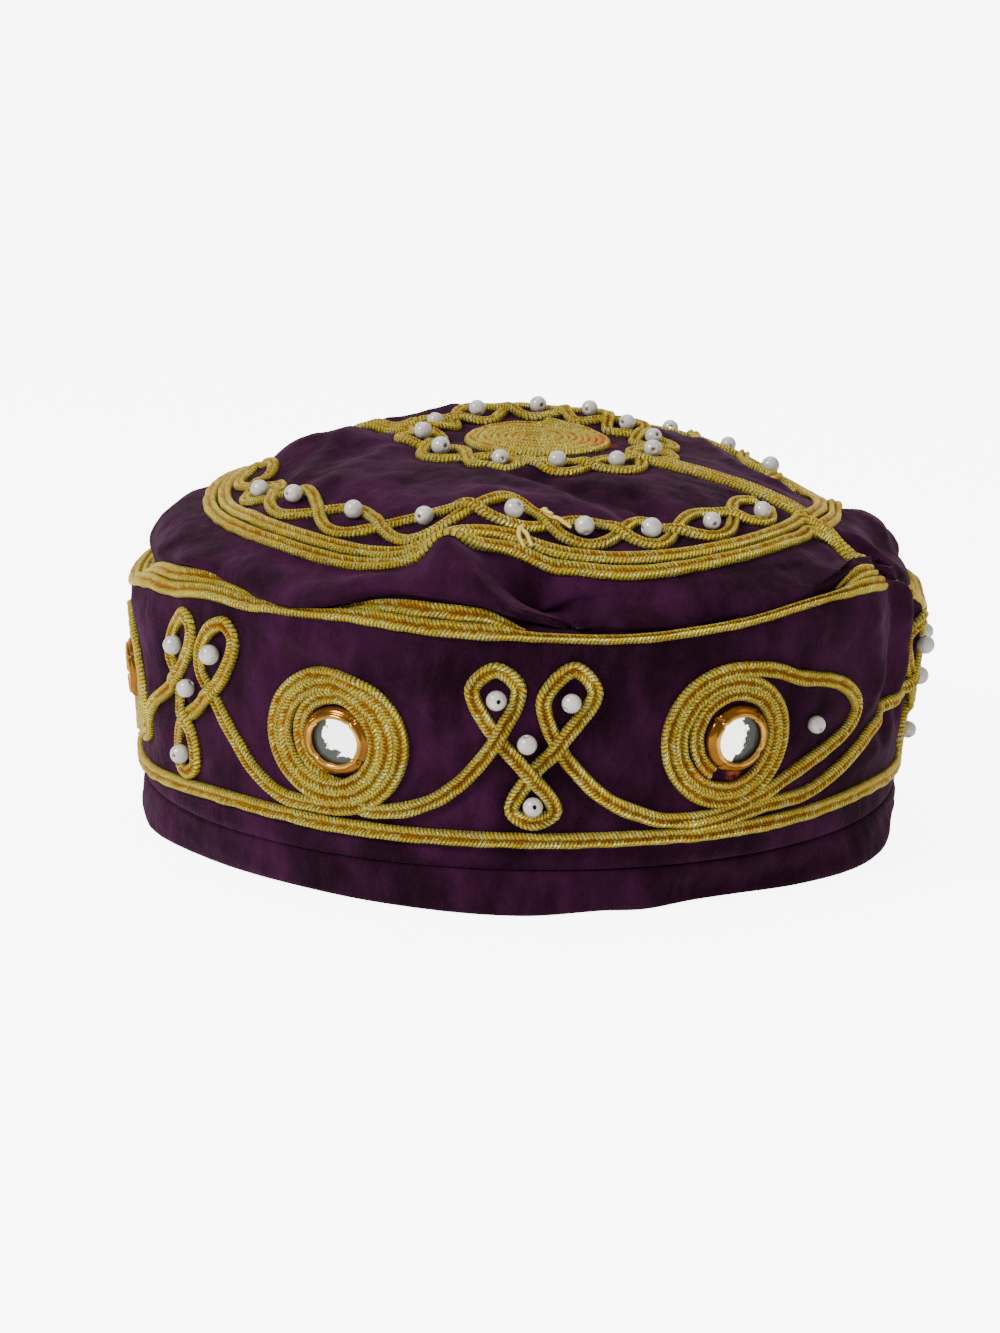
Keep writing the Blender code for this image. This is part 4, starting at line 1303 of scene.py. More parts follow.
def value_node(tree, operation, *terms, clamp=False):
    """A Math node fed by sockets or numbers, giving its output."""
    node = add_node(tree, "ShaderNodeMath", operation=operation, use_clamp=clamp)
    for socket, term in zip(node.inputs, terms):
        feed(tree, term, socket)
    return node.outputs[0]


def times(tree, first, second, clamp=False):
    return value_node(tree, "MULTIPLY", first, second, clamp=clamp)


def plus(tree, first, second, clamp=False):
    return value_node(tree, "ADD", first, second, clamp=clamp)


def less(tree, first, second):
    return value_node(tree, "SUBTRACT", first, second)


def mix_colour(tree, factor, first, second):
    """A colour that goes from the first to the second with the factor."""
    node = add_node(tree, "ShaderNodeMix", data_type="RGBA")
    for socket, given in ((node.inputs[0], factor), (node.inputs[6], first), (node.inputs[7], second)):
        feed(tree, given, socket)
    return node.outputs[2]


def ramp(tree, source, low, high):
    """Source taken from 0 at low to 1 at high."""
    node = add_node(tree, "ShaderNodeMapRange", interpolation_type="SMOOTHSTEP")
    set_inputs(node, From_Min=low, From_Max=high)
    feed(tree, source, node.inputs["Value"])
    return node.outputs[0]


def noise_node(tree, place, scale, detail, rough):
    """Noise over a place, its scale given by a socket or a number."""
    node = add_node(tree, "ShaderNodeTexNoise")
    set_inputs(node, Detail=detail, Roughness=rough)
    feed(tree, scale, node.inputs["Scale"])
    feed(tree, place, node.inputs["Vector"])
    return node.outputs[0]


def object_place(tree):
    return add_node(tree, "ShaderNodeTexCoord").outputs["Object"]


def run_places(tree):
    """The two run coordinates of a piece."""
    split = add_node(tree, "ShaderNodeSeparateXYZ")
    feed(tree, add_node(tree, "ShaderNodeUVMap", uv_map="run").outputs[0], split.inputs[0])
    return split.outputs[0], split.outputs[1]


def stain_of(tree):
    return add_node(tree, "ShaderNodeAttribute", attribute_name="stain").outputs["Fac"]


def new_group(name, inputs, outputs):
    """A shader group with number sockets: its tree, its input node and its output node."""
    tree = bpy.data.node_groups.new(name, "ShaderNodeTree")
    for socket, value in inputs:
        made = tree.interface.new_socket(name=socket, in_out="INPUT", socket_type="NodeSocketFloat")
        made.default_value = value
    for socket in outputs:
        tree.interface.new_socket(name=socket, in_out="OUTPUT", socket_type="NodeSocketFloat")
    return tree, add_node(tree, "NodeGroupInput"), add_node(tree, "NodeGroupOutput")


def wear_group():
    """Soft patches and fine dust over any material, by the object's own coordinates."""
    name = "Handled Wear"
    if name in bpy.data.node_groups:
        return bpy.data.node_groups[name]
    inputs = [row[:2] for row in WEAR_MASKS]
    tree, given, made = new_group(name, inputs, [row[2] for row in WEAR_MASKS])
    place = object_place(tree)
    for size, _, output, low, high in WEAR_MASKS:
        texture = noise_node(tree, place, given.outputs[size], detail=4.0, rough=0.5)
        feed(tree, ramp(tree, texture, low, high), made.inputs[output])
    return tree


def braid_group():
    """Threads of a flat braid, by its run coordinates: -1 to 1 across it, and threads along it."""
    name = "Braid Threads"
    if name in bpy.data.node_groups:
        return bpy.data.node_groups[name]
    outputs = ("Thread", "Groove", "Chance", "Height")
    tree, given, made = new_group(name, (("Jitter", 0.35),), outputs)
    across, along = run_places(tree)
    side = value_node(tree, "GREATER_THAN", across, 0.0)
    phase = plus(tree, along, less(tree, 0.5, times(tree, side, 0.5)))
    turn = times(tree, phase, 2 * math.pi)
    fine = times(tree, value_node(tree, "COSINE", times(tree, turn, 3.0)), 0.6)
    both = plus(tree, value_node(tree, "COSINE", turn), fine)
    thread = value_node(tree, "MULTIPLY_ADD", both, 0.3, 0.5)
    seed = add_node(tree, "ShaderNodeCombineXYZ")
    feed(tree, value_node(tree, "FLOOR", plus(tree, phase, 0.5)), seed.inputs[0])
    feed(tree, side, seed.inputs[1])
    white = add_node(tree, "ShaderNodeTexWhiteNoise", noise_dimensions="2D")
    feed(tree, seed.outputs[0], white.inputs["Vector"])
    chance = white.outputs["Value"]
    jitter = times(tree, chance, given.outputs["Jitter"])
    edge = plus(tree, value_node(tree, "ABSOLUTE", across), jitter)
    groove = less(tree, 1.0, ramp(tree, edge, 0.22, 0.62))
    height = times(tree, thread, plus(tree, chance, 0.8))
    for output, source in zip(outputs, (thread, groove, chance, height)):
        feed(tree, source, made.inputs[output])
    return tree


def grouped(tree, group, **values):
    """A group placed in a material, with the material's own values."""
    node = add_node(tree, "ShaderNodeGroup", node_tree=group)
    set_inputs(node, **values)
    return node.outputs


def bump_into(tree, shader, height, distance, strength):
    node = add_node(tree, "ShaderNodeBump")
    set_inputs(node, Strength=strength, Distance=distance)
    feed(tree, height, node.inputs["Height"])
    feed(tree, node.outputs[0], shader.inputs["Normal"])


def finish(name, build, colours):
    """The material of that name, built by its function when it is first asked for."""
    if name in bpy.data.materials:
        return bpy.data.materials[name]
    material = bpy.data.materials.new(name)
    material.use_nodes = True
    tree = material.node_tree
    build(tree, tree.nodes["Principled BSDF"], colours)
    return material


def velvet_finish(tree, shader, colours):
    """Purple pile, brushed up in patches, its lighter patches partly painted sheen highlights"""
    wear_and_painted_light = grouped(tree, wear_group(), Patch_Size=46.0, Dust_Size=700.0)
    place = object_place(tree)
    upright = add_node(tree, "ShaderNodeMapping")
    set_inputs(upright, Scale=(1.0, 1.0, 0.45))
    feed(tree, place, upright.inputs["Vector"])
    brushed = ramp(tree, noise_node(tree, upright.outputs[0], 120.0, 5.0, 0.62), 0.40, 0.68)
    pile = noise_node(tree, place, 2600.0, 2.0, 0.6)
    # Painted sheen: patches, streaks and pile noise lighten the velvet towards its brushed colour,
    # partly its random tone and partly standing in for sheen highlights.
    light = plus(tree, times(tree, wear_and_painted_light["Patches"], 0.45), times(tree, brushed, 0.42))
    light = plus(tree, light, times(tree, less(tree, pile, 0.5), 0.75), clamp=True)
    colour = mix_colour(tree, light, colours.velvet_dark, colours.velvet_brushed_sheen)
    marked = times(tree, stain_of(tree), noise_node(tree, place, 900.0, 2.0, 0.55), clamp=True)
    colour = mix_colour(tree, ramp(tree, marked, 0.12, 0.55), colour, VELVET_STAIN)
    feed(tree, colour, shader.inputs["Base Color"])
    set_inputs(shader, Roughness=0.85, Specular_IOR_Level=0.05)
    set_inputs(shader, Sheen_Weight=0.13, Sheen_Roughness=0.32, Sheen_Tint=VELVET_SHEEN)
    bump_into(tree, shader, plus(tree, pile, times(tree, brushed, 1.2)), 0.00022, 0.8)


def braid_finish(tree, shader, colours):
    """Metal threads, pale at the braid's edges and deep in its groove"""
    threads = grouped(tree, braid_group())
    wear_and_painted_light = grouped(tree, wear_group(), Patch_Size=120.0, Dust_Size=1500.0)
    fibre = noise_node(tree, object_place(tree), 3000.0, 3.0, 0.75)
    chance = threads["Chance"]
    pale = mix_colour(tree, chance, colours.gold_pale, BRAID_GREENISH)
    glint = plus(tree, times(tree, chance, 0.16), fibre)
    pale = mix_colour(tree, ramp(tree, glint, 0.58, 0.73), pale, BRAID_GLINT)
    deep = mix_colour(tree, chance, colours.gold_deep, BRAID_OCHRE)
    warm = times(tree, wear_and_painted_light["Patches"], 0.35)
    groove = plus(tree, times(tree, threads["Groove"], 0.8), warm, clamp=True)
    colour = mix_colour(tree, groove, pale, deep)
    shade = plus(tree, threads["Thread"], times(tree, fibre, 0.9))
    dark = times(tree, less(tree, 1.0, ramp(tree, shade, 0.58, 1.18)), 0.95)
    colour = mix_colour(tree, dark, colour, BRAID_SHADOW)
    colour = mix_colour(tree, stain_of(tree), colour, BRAID_STAIN)
    feed(tree, colour, shader.inputs["Base Color"])
    set_inputs(shader, Metallic=0.7, Specular_Tint=BRAID_SHINE)
    feed(tree, value_node(tree, "MULTIPLY_ADD", fibre, 0.5, 0.08), shader.inputs["Roughness"])
    bump_into(tree, shader, plus(tree, threads["Height"], times(tree, fibre, 1.4)), 0.00035, 1.0)


def eyelet_finish(tree, shader, colours):
    """Plated lip with painted shade on its outer slope and inside, tarnished in patches"""
    wear_and_painted_light = grouped(tree, wear_group(), Patch_Size=190.0, Dust_Size=2500.0)
    inwards, _ = run_places(tree)
    # Painted shade: the outer slope and the inside are darkened by their place across the eyelet's
    # profile, standing in for dark reflections.
    colour = mix_colour(tree, ramp(tree, inwards, 0.50, 0.62), EYELET_SLOPE_PAINTED_SHADE, colours.ring_gold)
    colour = mix_colour(tree, ramp(tree, inwards, 0.84, 0.94), colour, EYELET_INSIDE_PAINTED_SHADE)
    colour = mix_colour(tree, times(tree, wear_and_painted_light["Patches"], 0.7), colour, EYELET_TARNISH)
    feed(tree, colour, shader.inputs["Base Color"])
    set_inputs(shader, Metallic=0.8, Specular_Tint=EYELET_SHINE)
    feed(tree, value_node(tree, "MULTIPLY_ADD", wear_and_painted_light["Dust"], 0.3, 0.16), shader.inputs["Roughness"])


def mirror_finish(tree, shader, colours):
    """Glass that glows white as a painted reflection of the studio, with a painted dark reflection at
    one edge
    """
    outwards, _ = run_places(tree)
    ragged = times(tree, noise_node(tree, object_place(tree), 520.0, 3.0, 0.6), 0.9)
    painted_dark = ramp(tree, plus(tree, outwards, ragged), 0.86, 0.92)
    feed(tree, mix_colour(tree, painted_dark, MIRROR_SILVER, MIRROR_PAINTED_DARK), shader.inputs["Base Color"])
    feed(tree, less(tree, 1.0, painted_dark), shader.inputs["Metallic"])
    # Painted reflection: the silvered glass glows white, and the dark edge neither glows nor shines.
    feed(tree, mix_colour(tree, painted_dark, WHITE, BLACK), shader.inputs["Emission Color"])
    set_inputs(shader, Roughness=0.08, Specular_IOR_Level=0.25, Emission_Strength=1.6)


def pearl_finish(tree, shader, colours):
    """White coating, worn in patches, with painted shade greying it where its face turns away from view
    """
    wear_and_painted_light = grouped(tree, wear_group(), Patch_Size=500.0, Dust_Size=3000.0)
    colour = mix_colour(tree, wear_and_painted_light["Patches"], colours.pearl_white, PEARL_WORN)
    # Painted shade: the pearl greys towards its outline, by how far its face turns away from view.
    rim = add_node(tree, "ShaderNodeLayerWeight")
    set_inputs(rim, Blend=0.5)
    colour = mix_colour(tree, times(tree, rim.outputs["Facing"], 0.8), colour, PEARL_RIM_PAINTED_SHADE)
    feed(tree, colour, shader.inputs["Base Color"])
    set_inputs(shader, Roughness=0.25, Coat_Weight=1.0, Coat_Roughness=0.06)
    set_inputs(shader, Subsurface_Weight=0.12, Subsurface_Radius=(0.001, 0.0008, 0.0007))


def thread_finish(tree, shader, colours):
    set_inputs(shader, Base_Color=THREAD_CREAM, Roughness=0.5)


def floor_finish(tree, shader, colours):
    """Pale floor that glows to the camera, and only a little to the cap"""
    set_inputs(shader, Base_Color=colours.floor_white, Roughness=0.9, Emission_Strength=7.0)
    seen = add_node(tree, "ShaderNodeLightPath").outputs["Is Camera Ray"]
    feed(tree, mix_colour(tree, seen, FLOOR_LIGHT, WHITE), shader.inputs["Emission Color"])


# The pieces


def cloth_object(context, name, vertices, faces, node):
    """A velvet piece, standing for its CAD node."""
    velvet = finish("purple velvet pile", velvet_finish, context.scene.cap_colours)
    return new_object(name, vertices, faces, velvet, (node,))


def cord_object(context, name, shapes, nodes):
    """One or more cords as one piece, standing for their CAD nodes."""
    gold = finish("gold braid", braid_finish, context.scene.cap_colours)
    vertices, faces, run = joined(shapes)
    return new_object(name, vertices, faces, gold, nodes, run)


def crossing_cords(routes, sizes, seed, closed=False):
    """Narrower cords on the crown that pass over and under each other."""
    lifts = weave(routes, CROSSING_LIFT, CROSSING_REACH)
    return [
        cord_mesh(crown_surface, route, sizes, lift, closed, width=CROSSING_WIDTH, seed=seed + number)
        for number, (route, lift) in enumerate(zip(routes, lifts))
    ]


def trim_tightness(azimuth):
    """How tight the crown draws the trim, from 0 to 1."""
    start = smooth_step((azimuth - TIGHT_START[0]) / (TIGHT_START[1] - TIGHT_START[0]))
    end = smooth_step((TIGHT_END[1] - azimuth) / (TIGHT_END[1] - TIGHT_END[0]))
    middle, width, most = TRIM_PINCH
    return np.maximum(start * end, most * np.exp(-(((azimuth - middle) / width) ** 2)))


class CAP_OT_velvet_side(bpy.types.Operator):
    """Velvet of the side, swelling between its stitches, with its gathers and its inner face"""

    bl_idname = "cap.velvet_side"
    bl_label = "Velvet Side"

    def execute(self, context):
        azimuth = np.linspace(-180, 180, SIDE_COLUMNS, endpoint=False)[:, None]
        length = side_length(azimuth)
        distance = np.linspace(0, 1, SIDE_ROWS)[None] * length
        flat = np.stack([azimuth * SIDE_PER_DEGREE + 0 * distance, distance], -1)
        turn = np.linspace(0, 2 * np.pi, 16, endpoint=False)
        circle = np.stack([np.cos(turn), np.sin(turn)], -1)
        anchors = side_routes()
        for row in SPIRALS:
            anchors += [circle * reach + side_flat(row[0], row[1]) for reach in EYELET_STITCHES]
        anchors = np.concatenate(anchors)
        anchors[:, 0] = wrapped(anchors[:, 0])
        fade = smooth_step(distance / 4) * smooth_step((length - TRIM_WIDTH - distance) / 6)
        puff = puff_over(flat, anchors, context.scene.cap_sizes.puff / MM, SIDE_PUFF_REACH, fade)
        outer = side_surface(flat, puff)
        foot = np.clip(1 - distance / FOOT_HEIGHT, 0, 1)
        outer = outer - turned(azimuth, FOOT_TUCK * foot**2, 0 * foot)
        inner_distance = np.concatenate(
            [length, length - 3.5, length - 8.0, length * 0.5, length * 0.2, 0 * length], axis=1
        )
        radius, height, angle = side_section(azimuth, inner_distance)
        radius = radius - SIDE_THICKNESS * np.cos(angle)
        height = height - SIDE_THICKNESS * np.sin(angle)
        rings = np.concatenate([outer, turned(azimuth, radius, height)], axis=1)
        faces = grid_faces(*rings.shape[:2], closed_rows=True)
        piece = cloth_object(context, "velvet_side", rings.reshape(-1, 3), faces, "side_band")
        mark_stains(piece, side_surface, SIDE_STAINS)
        return {"FINISHED"}


class CAP_OT_velvet_hem(bpy.types.Operator):
    """Turned-up velvet hem that the cap rests on"""

    bl_idname = "cap.velvet_hem"
    bl_label = "Velvet Hem"

    def execute(self, context):
        azimuth = np.linspace(-180, 180, SIDE_COLUMNS, endpoint=False)[:, None]
        top = HEM_TOP - HEM_GAP
        inner = HEM_OUTER - HEM_THICKNESS
        section = [(HEM_OUTER - inset, top - down) for inset, down in HEM_TOP_EDGE]
        section += [(HEM_OUTER, height) for height in HEM_FACE]
        section += [(HEM_OUTER - inset, height) for inset, height in HEM_FOOT]
        section += [(inner + 0.8, 0.02), (inner + 0.1, 0.6), (inner, 2.0), (inner, 6.0), (inner, top)]
        radius = np.array([point[0] for point in section])[None] + 0 * azimuth
        height = np.array([point[1] for point in section])[None] + 0 * azimuth
        outer = np.array([1.0 if point[0] > inner + 1.0 else 0.0 for point in section])[None]
        swell = np.sin(np.clip(height / top, 0, 1) * np.pi) * outer
        for index in np.ndindex(radius.shape):
            x = azimuth[index[0], 0] * SIDE_PER_DEGREE
            z = height[index]
            ripple = noise.noise((x / 11.0, z / 5.0, 8.3)) + 0.5 * noise.noise((x / 4.0, z / 4.0, 1.3))
            radius[index] += swell[index] * (HEM_SWELL + HEM_RIPPLE * ripple)
        radius += smooth_step(1.15 - height / top) * around(RIM, 1, azimuth)
        rings = turned(azimuth, radius, height)
        faces = grid_faces(*rings.shape[:2], closed_rows=True)
        faces = [tuple(reversed(face)) for face in faces]
        cloth_object(context, "velvet_hem", rings.reshape(-1, 3), faces, "hem_band")
        return {"FINISHED"}


class CAP_OT_velvet_crown(bpy.types.Operator):
    """Velvet of the crown with its folds, and the lining's face under it"""

    bl_idname = "cap.velvet_crown"
    bl_label = "Velvet Crown"

    def execute(self, context):
        azimuth = np.linspace(-180, 180, CROWN_COLUMNS, endpoint=False)[:, None]
        distance = np.concatenate([np.linspace(*rows) for rows in CROWN_ROWS])[None]
        flat = crown_flat(azimuth, distance)
        anchors = np.concatenate(crown_routes(context.scene.cap_sizes))
        fade = smooth_step((CROWN_SEAM - distance) / 6)
        puff = puff_over(flat, anchors, context.scene.cap_sizes.puff / MM, CROWN_PUFF_REACH, fade)
        outer = crown_surface(flat, puff)
        outer[:, -1] -= [0.0, 0.0, SEAM_TUCK]
        lining = crown_flat(azimuth, np.array(LINING_DISTANCES)[None])
        inner = crown_surface(lining) - normals_of(crown_surface, lining) * CROWN_THICKNESS
        rings = np.concatenate([outer, inner], axis=1)
        count, rows = rings.shape[:2]
        faces = [tuple(reversed(face)) for face in grid_faces(count, rows)]
        vertices = rings.reshape(-1, 3)
        top = len(vertices)
        middle = crown_surface(np.zeros((1, 2)))
        vertices = np.concatenate([vertices, middle, middle - [0, 0, CROWN_THICKNESS]])
        for i in range(count):
            here = i * rows
            there = (i + 1) % count * rows
            faces.append((top, here, there))
            faces.append((top + 1, there + rows - 1, here + rows - 1))
        piece = cloth_object(context, "velvet_crown", vertices, faces, "crown")
        mark_stains(piece, crown_surface, CROWN_STAINS)
        return {"FINISHED"}


class CAP_OT_edge_cords(bpy.types.Operator):
    """The cord above the hem and the two cords of the trim round the top of the side"""

    bl_idname = "cap.edge_cords"
    bl_label = "Edge Cords"

    def execute(self, context):
        sizes = context.scene.cap_sizes
        low = cord_mesh(side_surface, band_route(lower_border), sizes, closed=True, seed=1.0)
        cord_object(context, "lower_border_cord", [low], ("lower_border_braid",))
        shapes = []
        for number, (level, down, inwards) in enumerate(TRIM_CORDS):
            route = band_route(lambda azimuth: side_length(azimuth) - TRIM_WIDTH + level, *TRIM_SPAN)
            tight = trim_tightness((route[:, 0] / SIDE_PER_DEGREE + 180) % 360 - 180)
            route[:, 1] -= down * tight
            width = TRIM_CORD_WIDTH - TRIM_NARROWING * tight
            lift = -inwards * tight
            sink = (END_SLOPE, 0.0)
            shapes.append(
                cord_mesh(side_surface, route, sizes, lift, width=width, sink=sink, seed=2.0 + number)
            )
        cord_object(context, "top_trim_cords", shapes, ("top_trim_braids",))
        return {"FINISHED"}


class CAP_OT_crown_cords(bpy.types.Operator):
    """Border, spokes, waves and medallion of the crown"""

    bl_idname = "cap.crown_cords"
    bl_label = "Crown Cords"

    def execute(self, context):
        sizes = context.scene.cap_sizes
        width = sizes.cord_width / MM
        border = [
            cord_mesh(crown_surface, route, sizes, seed=5.0 + number)
            for number, route in enumerate(border_routes(width))
        ]
        piece = cord_object(context, "crown_border_cords", border, ("crown_border_braids",))
        mark_stains(piece, crown_surface, CROWN_STAINS)
        for name, node, turn in (
            ("wave_cords_front", "wave_braid_front", 0.0),
            ("wave_cords_back", "wave_braid_back", WAVE_TURN),
        ):
            cord_object(context, name, crossing_cords(wave_routes(turn), sizes, 11.0), (node,))
        coil = cord_mesh(crown_surface, medallion_coil_route(width), sizes, seed=15.0)
        piece = cord_object(context, "medallion_coil_cord", [coil], ("medallion_coil",))
        mark_stains(piece, crown_surface, CROWN_STAINS)
        loops = crossing_cords(medallion_loop_routes(), sizes, 16.0, closed=True)
        cord_object(context, "medallion_loop_cord", loops, ("medallion_loops",))
        return {"FINISHED"}


class CAP_OT_side_scrolls(bpy.types.Operator):
    """Looped scrolls round the side, each one cord passing over and under itself, one with a lobe"""

    bl_idname = "cap.side_scrolls"
    bl_label = "Side Scrolls"

    def execute(self, context):
        sizes = context.scene.cap_sizes
        for index in range(len(SCROLLS)):
            route = scroll_route(index)
            lift = weave([route], SCROLL_CROSSING_LIFT, CROSSING_REACH)[0]
            sink = (END_SLOPE, SCROLL_END_SLOPES.get(index, END_SLOPE))
            shape = cord_mesh(side_surface, route, sizes, lift=lift, sink=sink, seed=20.0 + index)
            nodes = (f"scroll_braid_{index + 1}",)
            if index == 0:
                nodes += ("lobe_braid",)
            cord_object(context, f"scroll_cord_{index + 1}", [shape], nodes)
        return {"FINISHED"}


class CAP_OT_side_spirals(bpy.types.Operator):
    """Coiled cords round the eyelets"""

    bl_idname = "cap.side_spirals"
    bl_label = "Side Spirals"

    def execute(self, context):
        sizes = context.scene.cap_sizes
        for index, row in enumerate(SPIRALS):
            shape = cord_mesh(side_surface, spiral_route(row), sizes, sink=row[9:], seed=30.0 + index)
            nodes = (f"spiral_coil_{index + 1}",)
            piece = cord_object(context, f"spiral_cord_{index + 1}", [shape], nodes)
            mark_stains(piece, side_surface, SIDE_STAINS)
        return {"FINISHED"}


class CAP_OT_eyelets(bpy.types.Operator):
    """Gold eyelets, notched where they are sewn, and the mirror glass in them"""

    bl_idname = "cap.eyelets"
    bl_label = "Eyelets And Mirrors"

    def execute(self, context):
        colours = context.scene.cap_colours
        gold = finish("polished eyelet gold", eyelet_finish, colours)
        glass = finish("mirror glass with painted reflection", mirror_finish, colours)
        turn = np.linspace(0, 2 * np.pi, EYELET_SIDES, endpoint=False)
        for index, (row, wear_and_painted_light) in enumerate(zip(SPIRALS, MIRROR_DARK_SIDES)):
            azimuth, height, stretch = row[0], row[1], row[8]
            flat = np.array([side_flat(azimuth, height)])
            centre = side_surface(flat)[0]
            out = normals_of(side_surface, flat)[0]
            right = unit(np.cross(out, [0, 0, 1]))
            up = np.cross(out, right)
            circle = np.cos(turn)[:, None] * right * stretch + np.sin(turn)[:, None] * up
            cut = np.zeros(EYELET_SIDES)
            for notch in NOTCHES:
                away = np.abs((np.degrees(turn) - notch - NOTCH_TURN * index + 180) % 360 - 180)
                cut = cut + np.clip(1 - away / NOTCH_HALF_WIDTH, 0, 1)
            rings = []
            for radius, level in EYELET:
                depth = NOTCH_DEPTH if radius > EYELET_CREASE else NOTCH_DEPTH_INSIDE
                lift = level - depth * cut * (level > NOTCH_FLOOR)
                rings.append(centre + circle * radius + out * lift[:, None])
            rows = len(rings)
            vertices = np.stack(rings, axis=1).reshape(-1, 3)
            run = [(k / (rows - 1), i / EYELET_SIDES) for i in range(EYELET_SIDES) for k in range(rows)]
            faces = grid_faces(EYELET_SIDES, rows)
            nodes = (f"mirror_ring_{index + 1}",)
            new_object(f"eyelet_{index + 1}", vertices, faces, gold, nodes, run)
            middle = centre + out * MIRROR_HEIGHT
            rings = [middle + circle * share * MIRROR_RADIUS for share in MIRROR_RINGS]
            rows = len(rings)
            vertices = np.concatenate([np.stack(rings, axis=1).reshape(-1, 3), [middle]])
            faces = grid_faces(EYELET_SIDES, rows)
            for i in range(EYELET_SIDES):
                faces.append((i * rows, len(vertices) - 1, (i + 1) % EYELET_SIDES * rows))
            # The run's first coordinate grows towards the side of the mirror's painted dark reflection.
            toward = 0.5 + 0.5 * np.cos(turn - math.radians(wear_and_painted_light))
            run = [(share * part, 0.0) for part in toward for share in MIRROR_RINGS] + [(0, 0)]
            nodes = (f"mirror_{index + 1}",)
            new_object(f"mirror_glass_{index + 1}", vertices, faces, glass, nodes, run)
        return {"FINISHED"}


class CAP_OT_pearls(bpy.types.Operator):
    """Pearls sewn inside the loops of the cords"""

    bl_idname = "cap.pearls"
    bl_label = "Pearls"

    def execute(self, context):
        white = finish("pearl coating", pearl_finish, context.scene.cap_colours)
        radius = context.scene.cap_sizes.pearl_radius / MM
        bead, bead_faces = hollow_bead(radius, PEARL_BORE, PEARL_SIDES, PEARL_ROWS)
        side_spots = [side_flat(middle + x, y) for middle in SCROLLS[:-1] for x, y in SCROLL_PEARLS]
        side_spots += [side_flat(*place) for place in CROOKED_PEARLS + (LOBE_PEARL,)]
        crown_spots = [crown_flat(x, y) for x, y in WAVE_PEARLS]
        crown_spots += [crown_flat(x + WAVE_TURN, y) for x, y in WAVE_PEARLS[:-1]]
        crown_spots += MEDALLION_PEARLS
        side_nodes = tuple(f"band_pearl_{number:02d}" for number in range(1, len(side_spots) + 1))
        for name, surface, spots, nodes, facing in (
            ("side_pearls", side_surface, side_spots, side_nodes, SIDE_BORES_OUT),
            ("crown_pearls", crown_surface, crown_spots, (), CROWN_BORES_OUT),
        ):
            chance = np.random.default_rng(7)
            vertices = []
            faces = []
            for index, spot in enumerate(spots):
                flat = np.array([spot], float)
                out = normals_of(surface, flat)[0]
                size = chance.uniform(*PEARL_SIZES)
                centre = surface(flat)[0] + out * radius * PEARL_SEAT * size
                aside = unit(np.cross(out, chance.normal(size=3)))
                lean = BORE_OUT if index in facing else chance.uniform(*BORE_LEAN)
                axis = unit(aside + out * lean)
                first = unit(np.cross(axis, out + 0.01))
                basis = np.stack([first, np.cross(axis, first), axis])
                faces.extend(tuple(k + len(vertices) * len(bead) for k in face) for face in bead_faces)
                vertices.append(bead * size @ basis + centre)
            new_object(name, np.concatenate(vertices), faces, white, nodes)
        return {"FINISHED"}


class CAP_OT_loose_threads(bpy.types.Operator):
    """Ends of sewing thread left standing on the crown"""

    bl_idname = "cap.loose_threads"
    bl_label = "Loose Threads"

    def execute(self, context):
        turn = np.linspace(0, 2 * np.pi, STRAND_SIDES, endpoint=False)[None, :, None]
        shapes = []
        for strand in THREADS:
            places = np.array(strand, float)
            flat = smooth_route(places[:, :2], STRAND_STEP)
            part = np.linspace(0, 1, len(flat))
            height = np.interp(part, np.linspace(0, 1, len(places)), places[:, 2])
            out = normals_of(crown_surface, flat)
            centre = crown_surface(flat) + out * height[:, None]
            along = unit(np.gradient(centre, axis=0))
            across = unit(np.cross(along, out))
            up = np.cross(across, along)
            radius = (STRAND_RADIUS - STRAND_TAPER * part)[:, None, None]
            rings = np.cos(turn) * across[:, None] + np.sin(turn) * up[:, None]
            vertices = (centre[:, None] + radius * rings).reshape(-1, 3)
            faces = tube_faces(len(flat), STRAND_SIDES)
            shapes.append((vertices, faces, np.zeros((len(vertices), 2))))
        vertices, faces, _ = joined(shapes)
        material = finish("cream sewing thread", thread_finish, context.scene.cap_colours)
        new_object("loose_threads", vertices, faces, material, ())
        return {"FINISHED"}


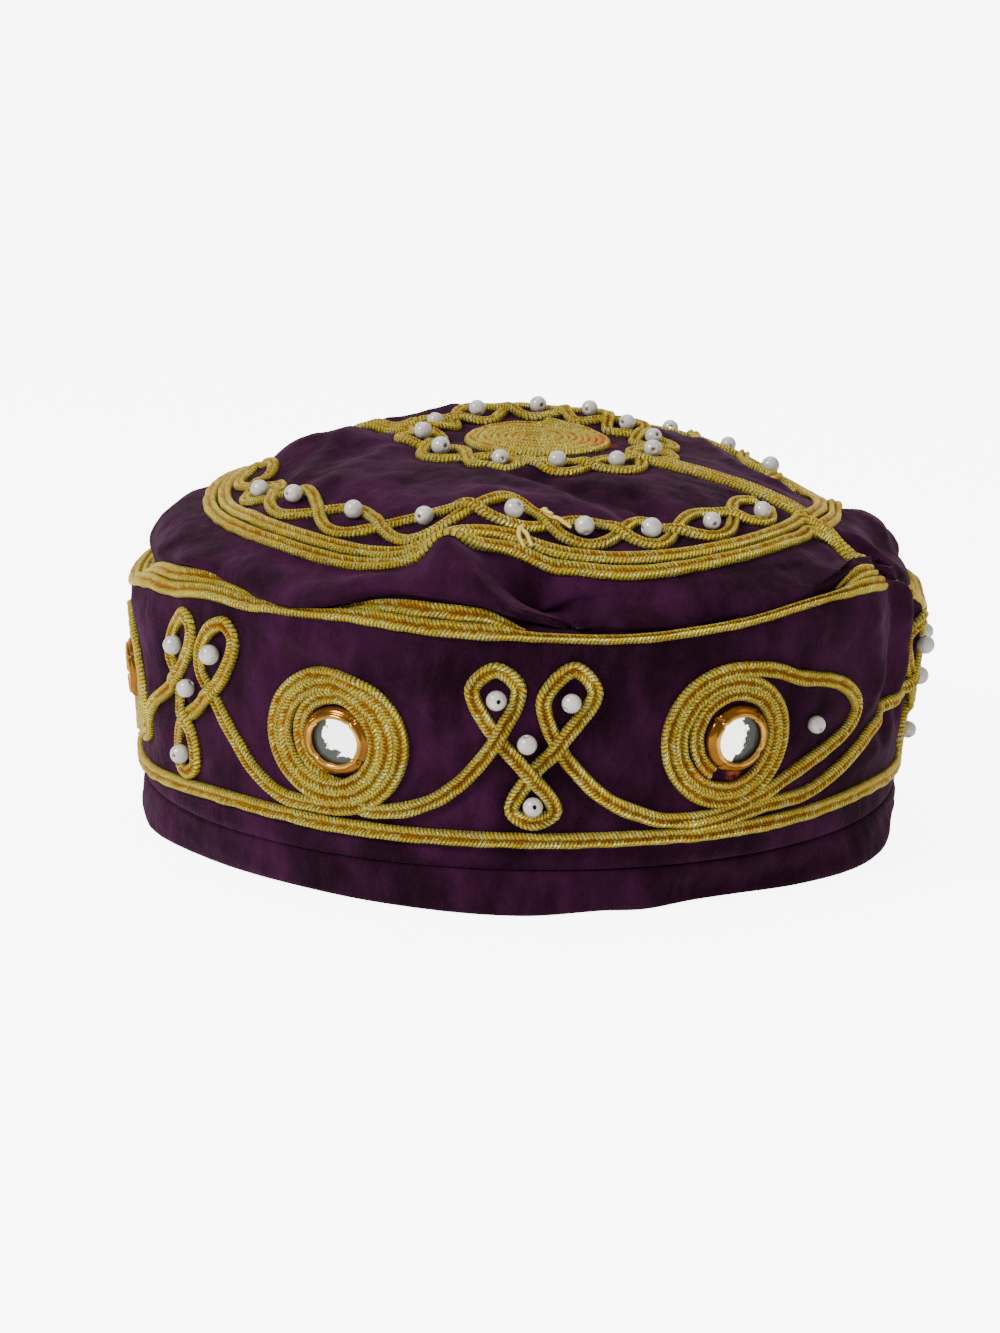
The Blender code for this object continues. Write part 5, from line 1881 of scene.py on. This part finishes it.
class CAP_OT_studio(bpy.types.Operator):
    """Pale floor running up into a backdrop, soft lights and the camera"""

    bl_idname = "cap.studio"
    bl_label = "Studio"

    def execute(self, context):
        scene = context.scene
        back = FLOOR_BEND + BEND_RADIUS
        line = [(FLOOR_FRONT, 0.0), (FLOOR_BEND, 0.0)]
        for angle in np.linspace(0.15, math.pi / 2, 10):
            line.append(
                (FLOOR_BEND + math.sin(angle) * BEND_RADIUS, BEND_RADIUS - math.cos(angle) * BEND_RADIUS)
            )
        line.append((back, BACKDROP_TOP))
        vertices = [(x, y, z) for x in (-FLOOR_HALF_WIDTH, FLOOR_HALF_WIDTH) for y, z in line]
        mesh = bpy.data.meshes.new("studio_floor")
        mesh.from_pydata(vertices, [], grid_faces(2, len(line), closed_columns=False))
        mesh.shade_smooth()
        mesh.materials.append(finish("studio floor", floor_finish, scene.cap_colours))
        floor = bpy.data.objects.new("studio_floor", mesh)
        scene.collection.objects.link(floor)
        world = bpy.data.worlds.new("soft studio")
        world.use_nodes = True
        set_inputs(world.node_tree.nodes["Background"], Color=WHITE, Strength=WORLD_STRENGTH)
        scene.world = world
        for name, place, size, power, colour in LIGHTS:
            data = bpy.data.lights.new(name, "AREA")
            data.size = size
            data.energy = power
            data.color = colour
            light = bpy.data.objects.new(name, data)
            light.location = place
            aim = Vector(LIGHT_TARGET) - Vector(place)
            light.rotation_mode = "QUATERNION"
            light.rotation_quaternion = aim.to_track_quat("-Z", "Y")
            scene.collection.objects.link(light)
        target = (Vector(CAMERA_TARGET) + Vector(CENTRING)) * MM
        outwards = Vector((0, -math.cos(CAMERA_RISE), math.sin(CAMERA_RISE)))
        data = bpy.data.cameras.new("photo camera")
        data.sensor_width = 36.0
        data.sensor_fit = "AUTO"
        data.lens = CAMERA_LENS
        data.clip_start = 0.01
        camera = bpy.data.objects.new("photo camera", data)
        camera.location = target + outwards * CAMERA_DISTANCE * MM
        camera.rotation_mode = "QUATERNION"
        straight = (-outwards).to_track_quat("-Z", "Y")
        camera.rotation_quaternion = straight @ Quaternion((0, 0, 1), CAMERA_ROLL)
        scene.collection.objects.link(camera)
        scene.camera = camera
        return {"FINISHED"}


class CAP_PT_panel(bpy.types.Panel):
    """Buttons that dress the cap"""

    bl_label = "Cap"
    bl_idname = "CAP_PT_panel"
    bl_space_type = "VIEW_3D"
    bl_region_type = "UI"
    bl_category = "Cap"

    def draw(self, context):
        layout = self.layout
        for operator in OPERATORS:
            layout.operator(operator.bl_idname)
        for group in (context.scene.cap_sizes, context.scene.cap_colours):
            box = layout.box()
            for name in group.__annotations__:
                box.prop(group, name)


OPERATORS = (
    CAP_OT_velvet_side,
    CAP_OT_velvet_hem,
    CAP_OT_velvet_crown,
    CAP_OT_edge_cords,
    CAP_OT_crown_cords,
    CAP_OT_side_scrolls,
    CAP_OT_side_spirals,
    CAP_OT_eyelets,
    CAP_OT_pearls,
    CAP_OT_loose_threads,
    CAP_OT_studio,
)
CLASSES = (CapSizes, CapColours) + OPERATORS + (CAP_PT_panel,)


def register():
    for item in CLASSES:
        bpy.utils.register_class(item)
    bpy.types.Scene.cap_sizes = bpy.props.PointerProperty(type=CapSizes)
    bpy.types.Scene.cap_colours = bpy.props.PointerProperty(type=CapColours)


def unregister():
    del bpy.types.Scene.cap_colours
    del bpy.types.Scene.cap_sizes
    for item in reversed(CLASSES):
        bpy.utils.unregister_class(item)


def main():
    register()
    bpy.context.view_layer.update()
    bpy.ops.cap.velvet_side()
    bpy.ops.cap.velvet_hem()
    bpy.ops.cap.velvet_crown()
    bpy.ops.cap.edge_cords()
    bpy.ops.cap.crown_cords()
    bpy.ops.cap.side_scrolls()
    bpy.ops.cap.side_spirals()
    bpy.ops.cap.eyelets()
    bpy.ops.cap.pearls()
    bpy.ops.cap.loose_threads()
    bpy.ops.cap.studio()


if __name__ == "__main__":
    main()
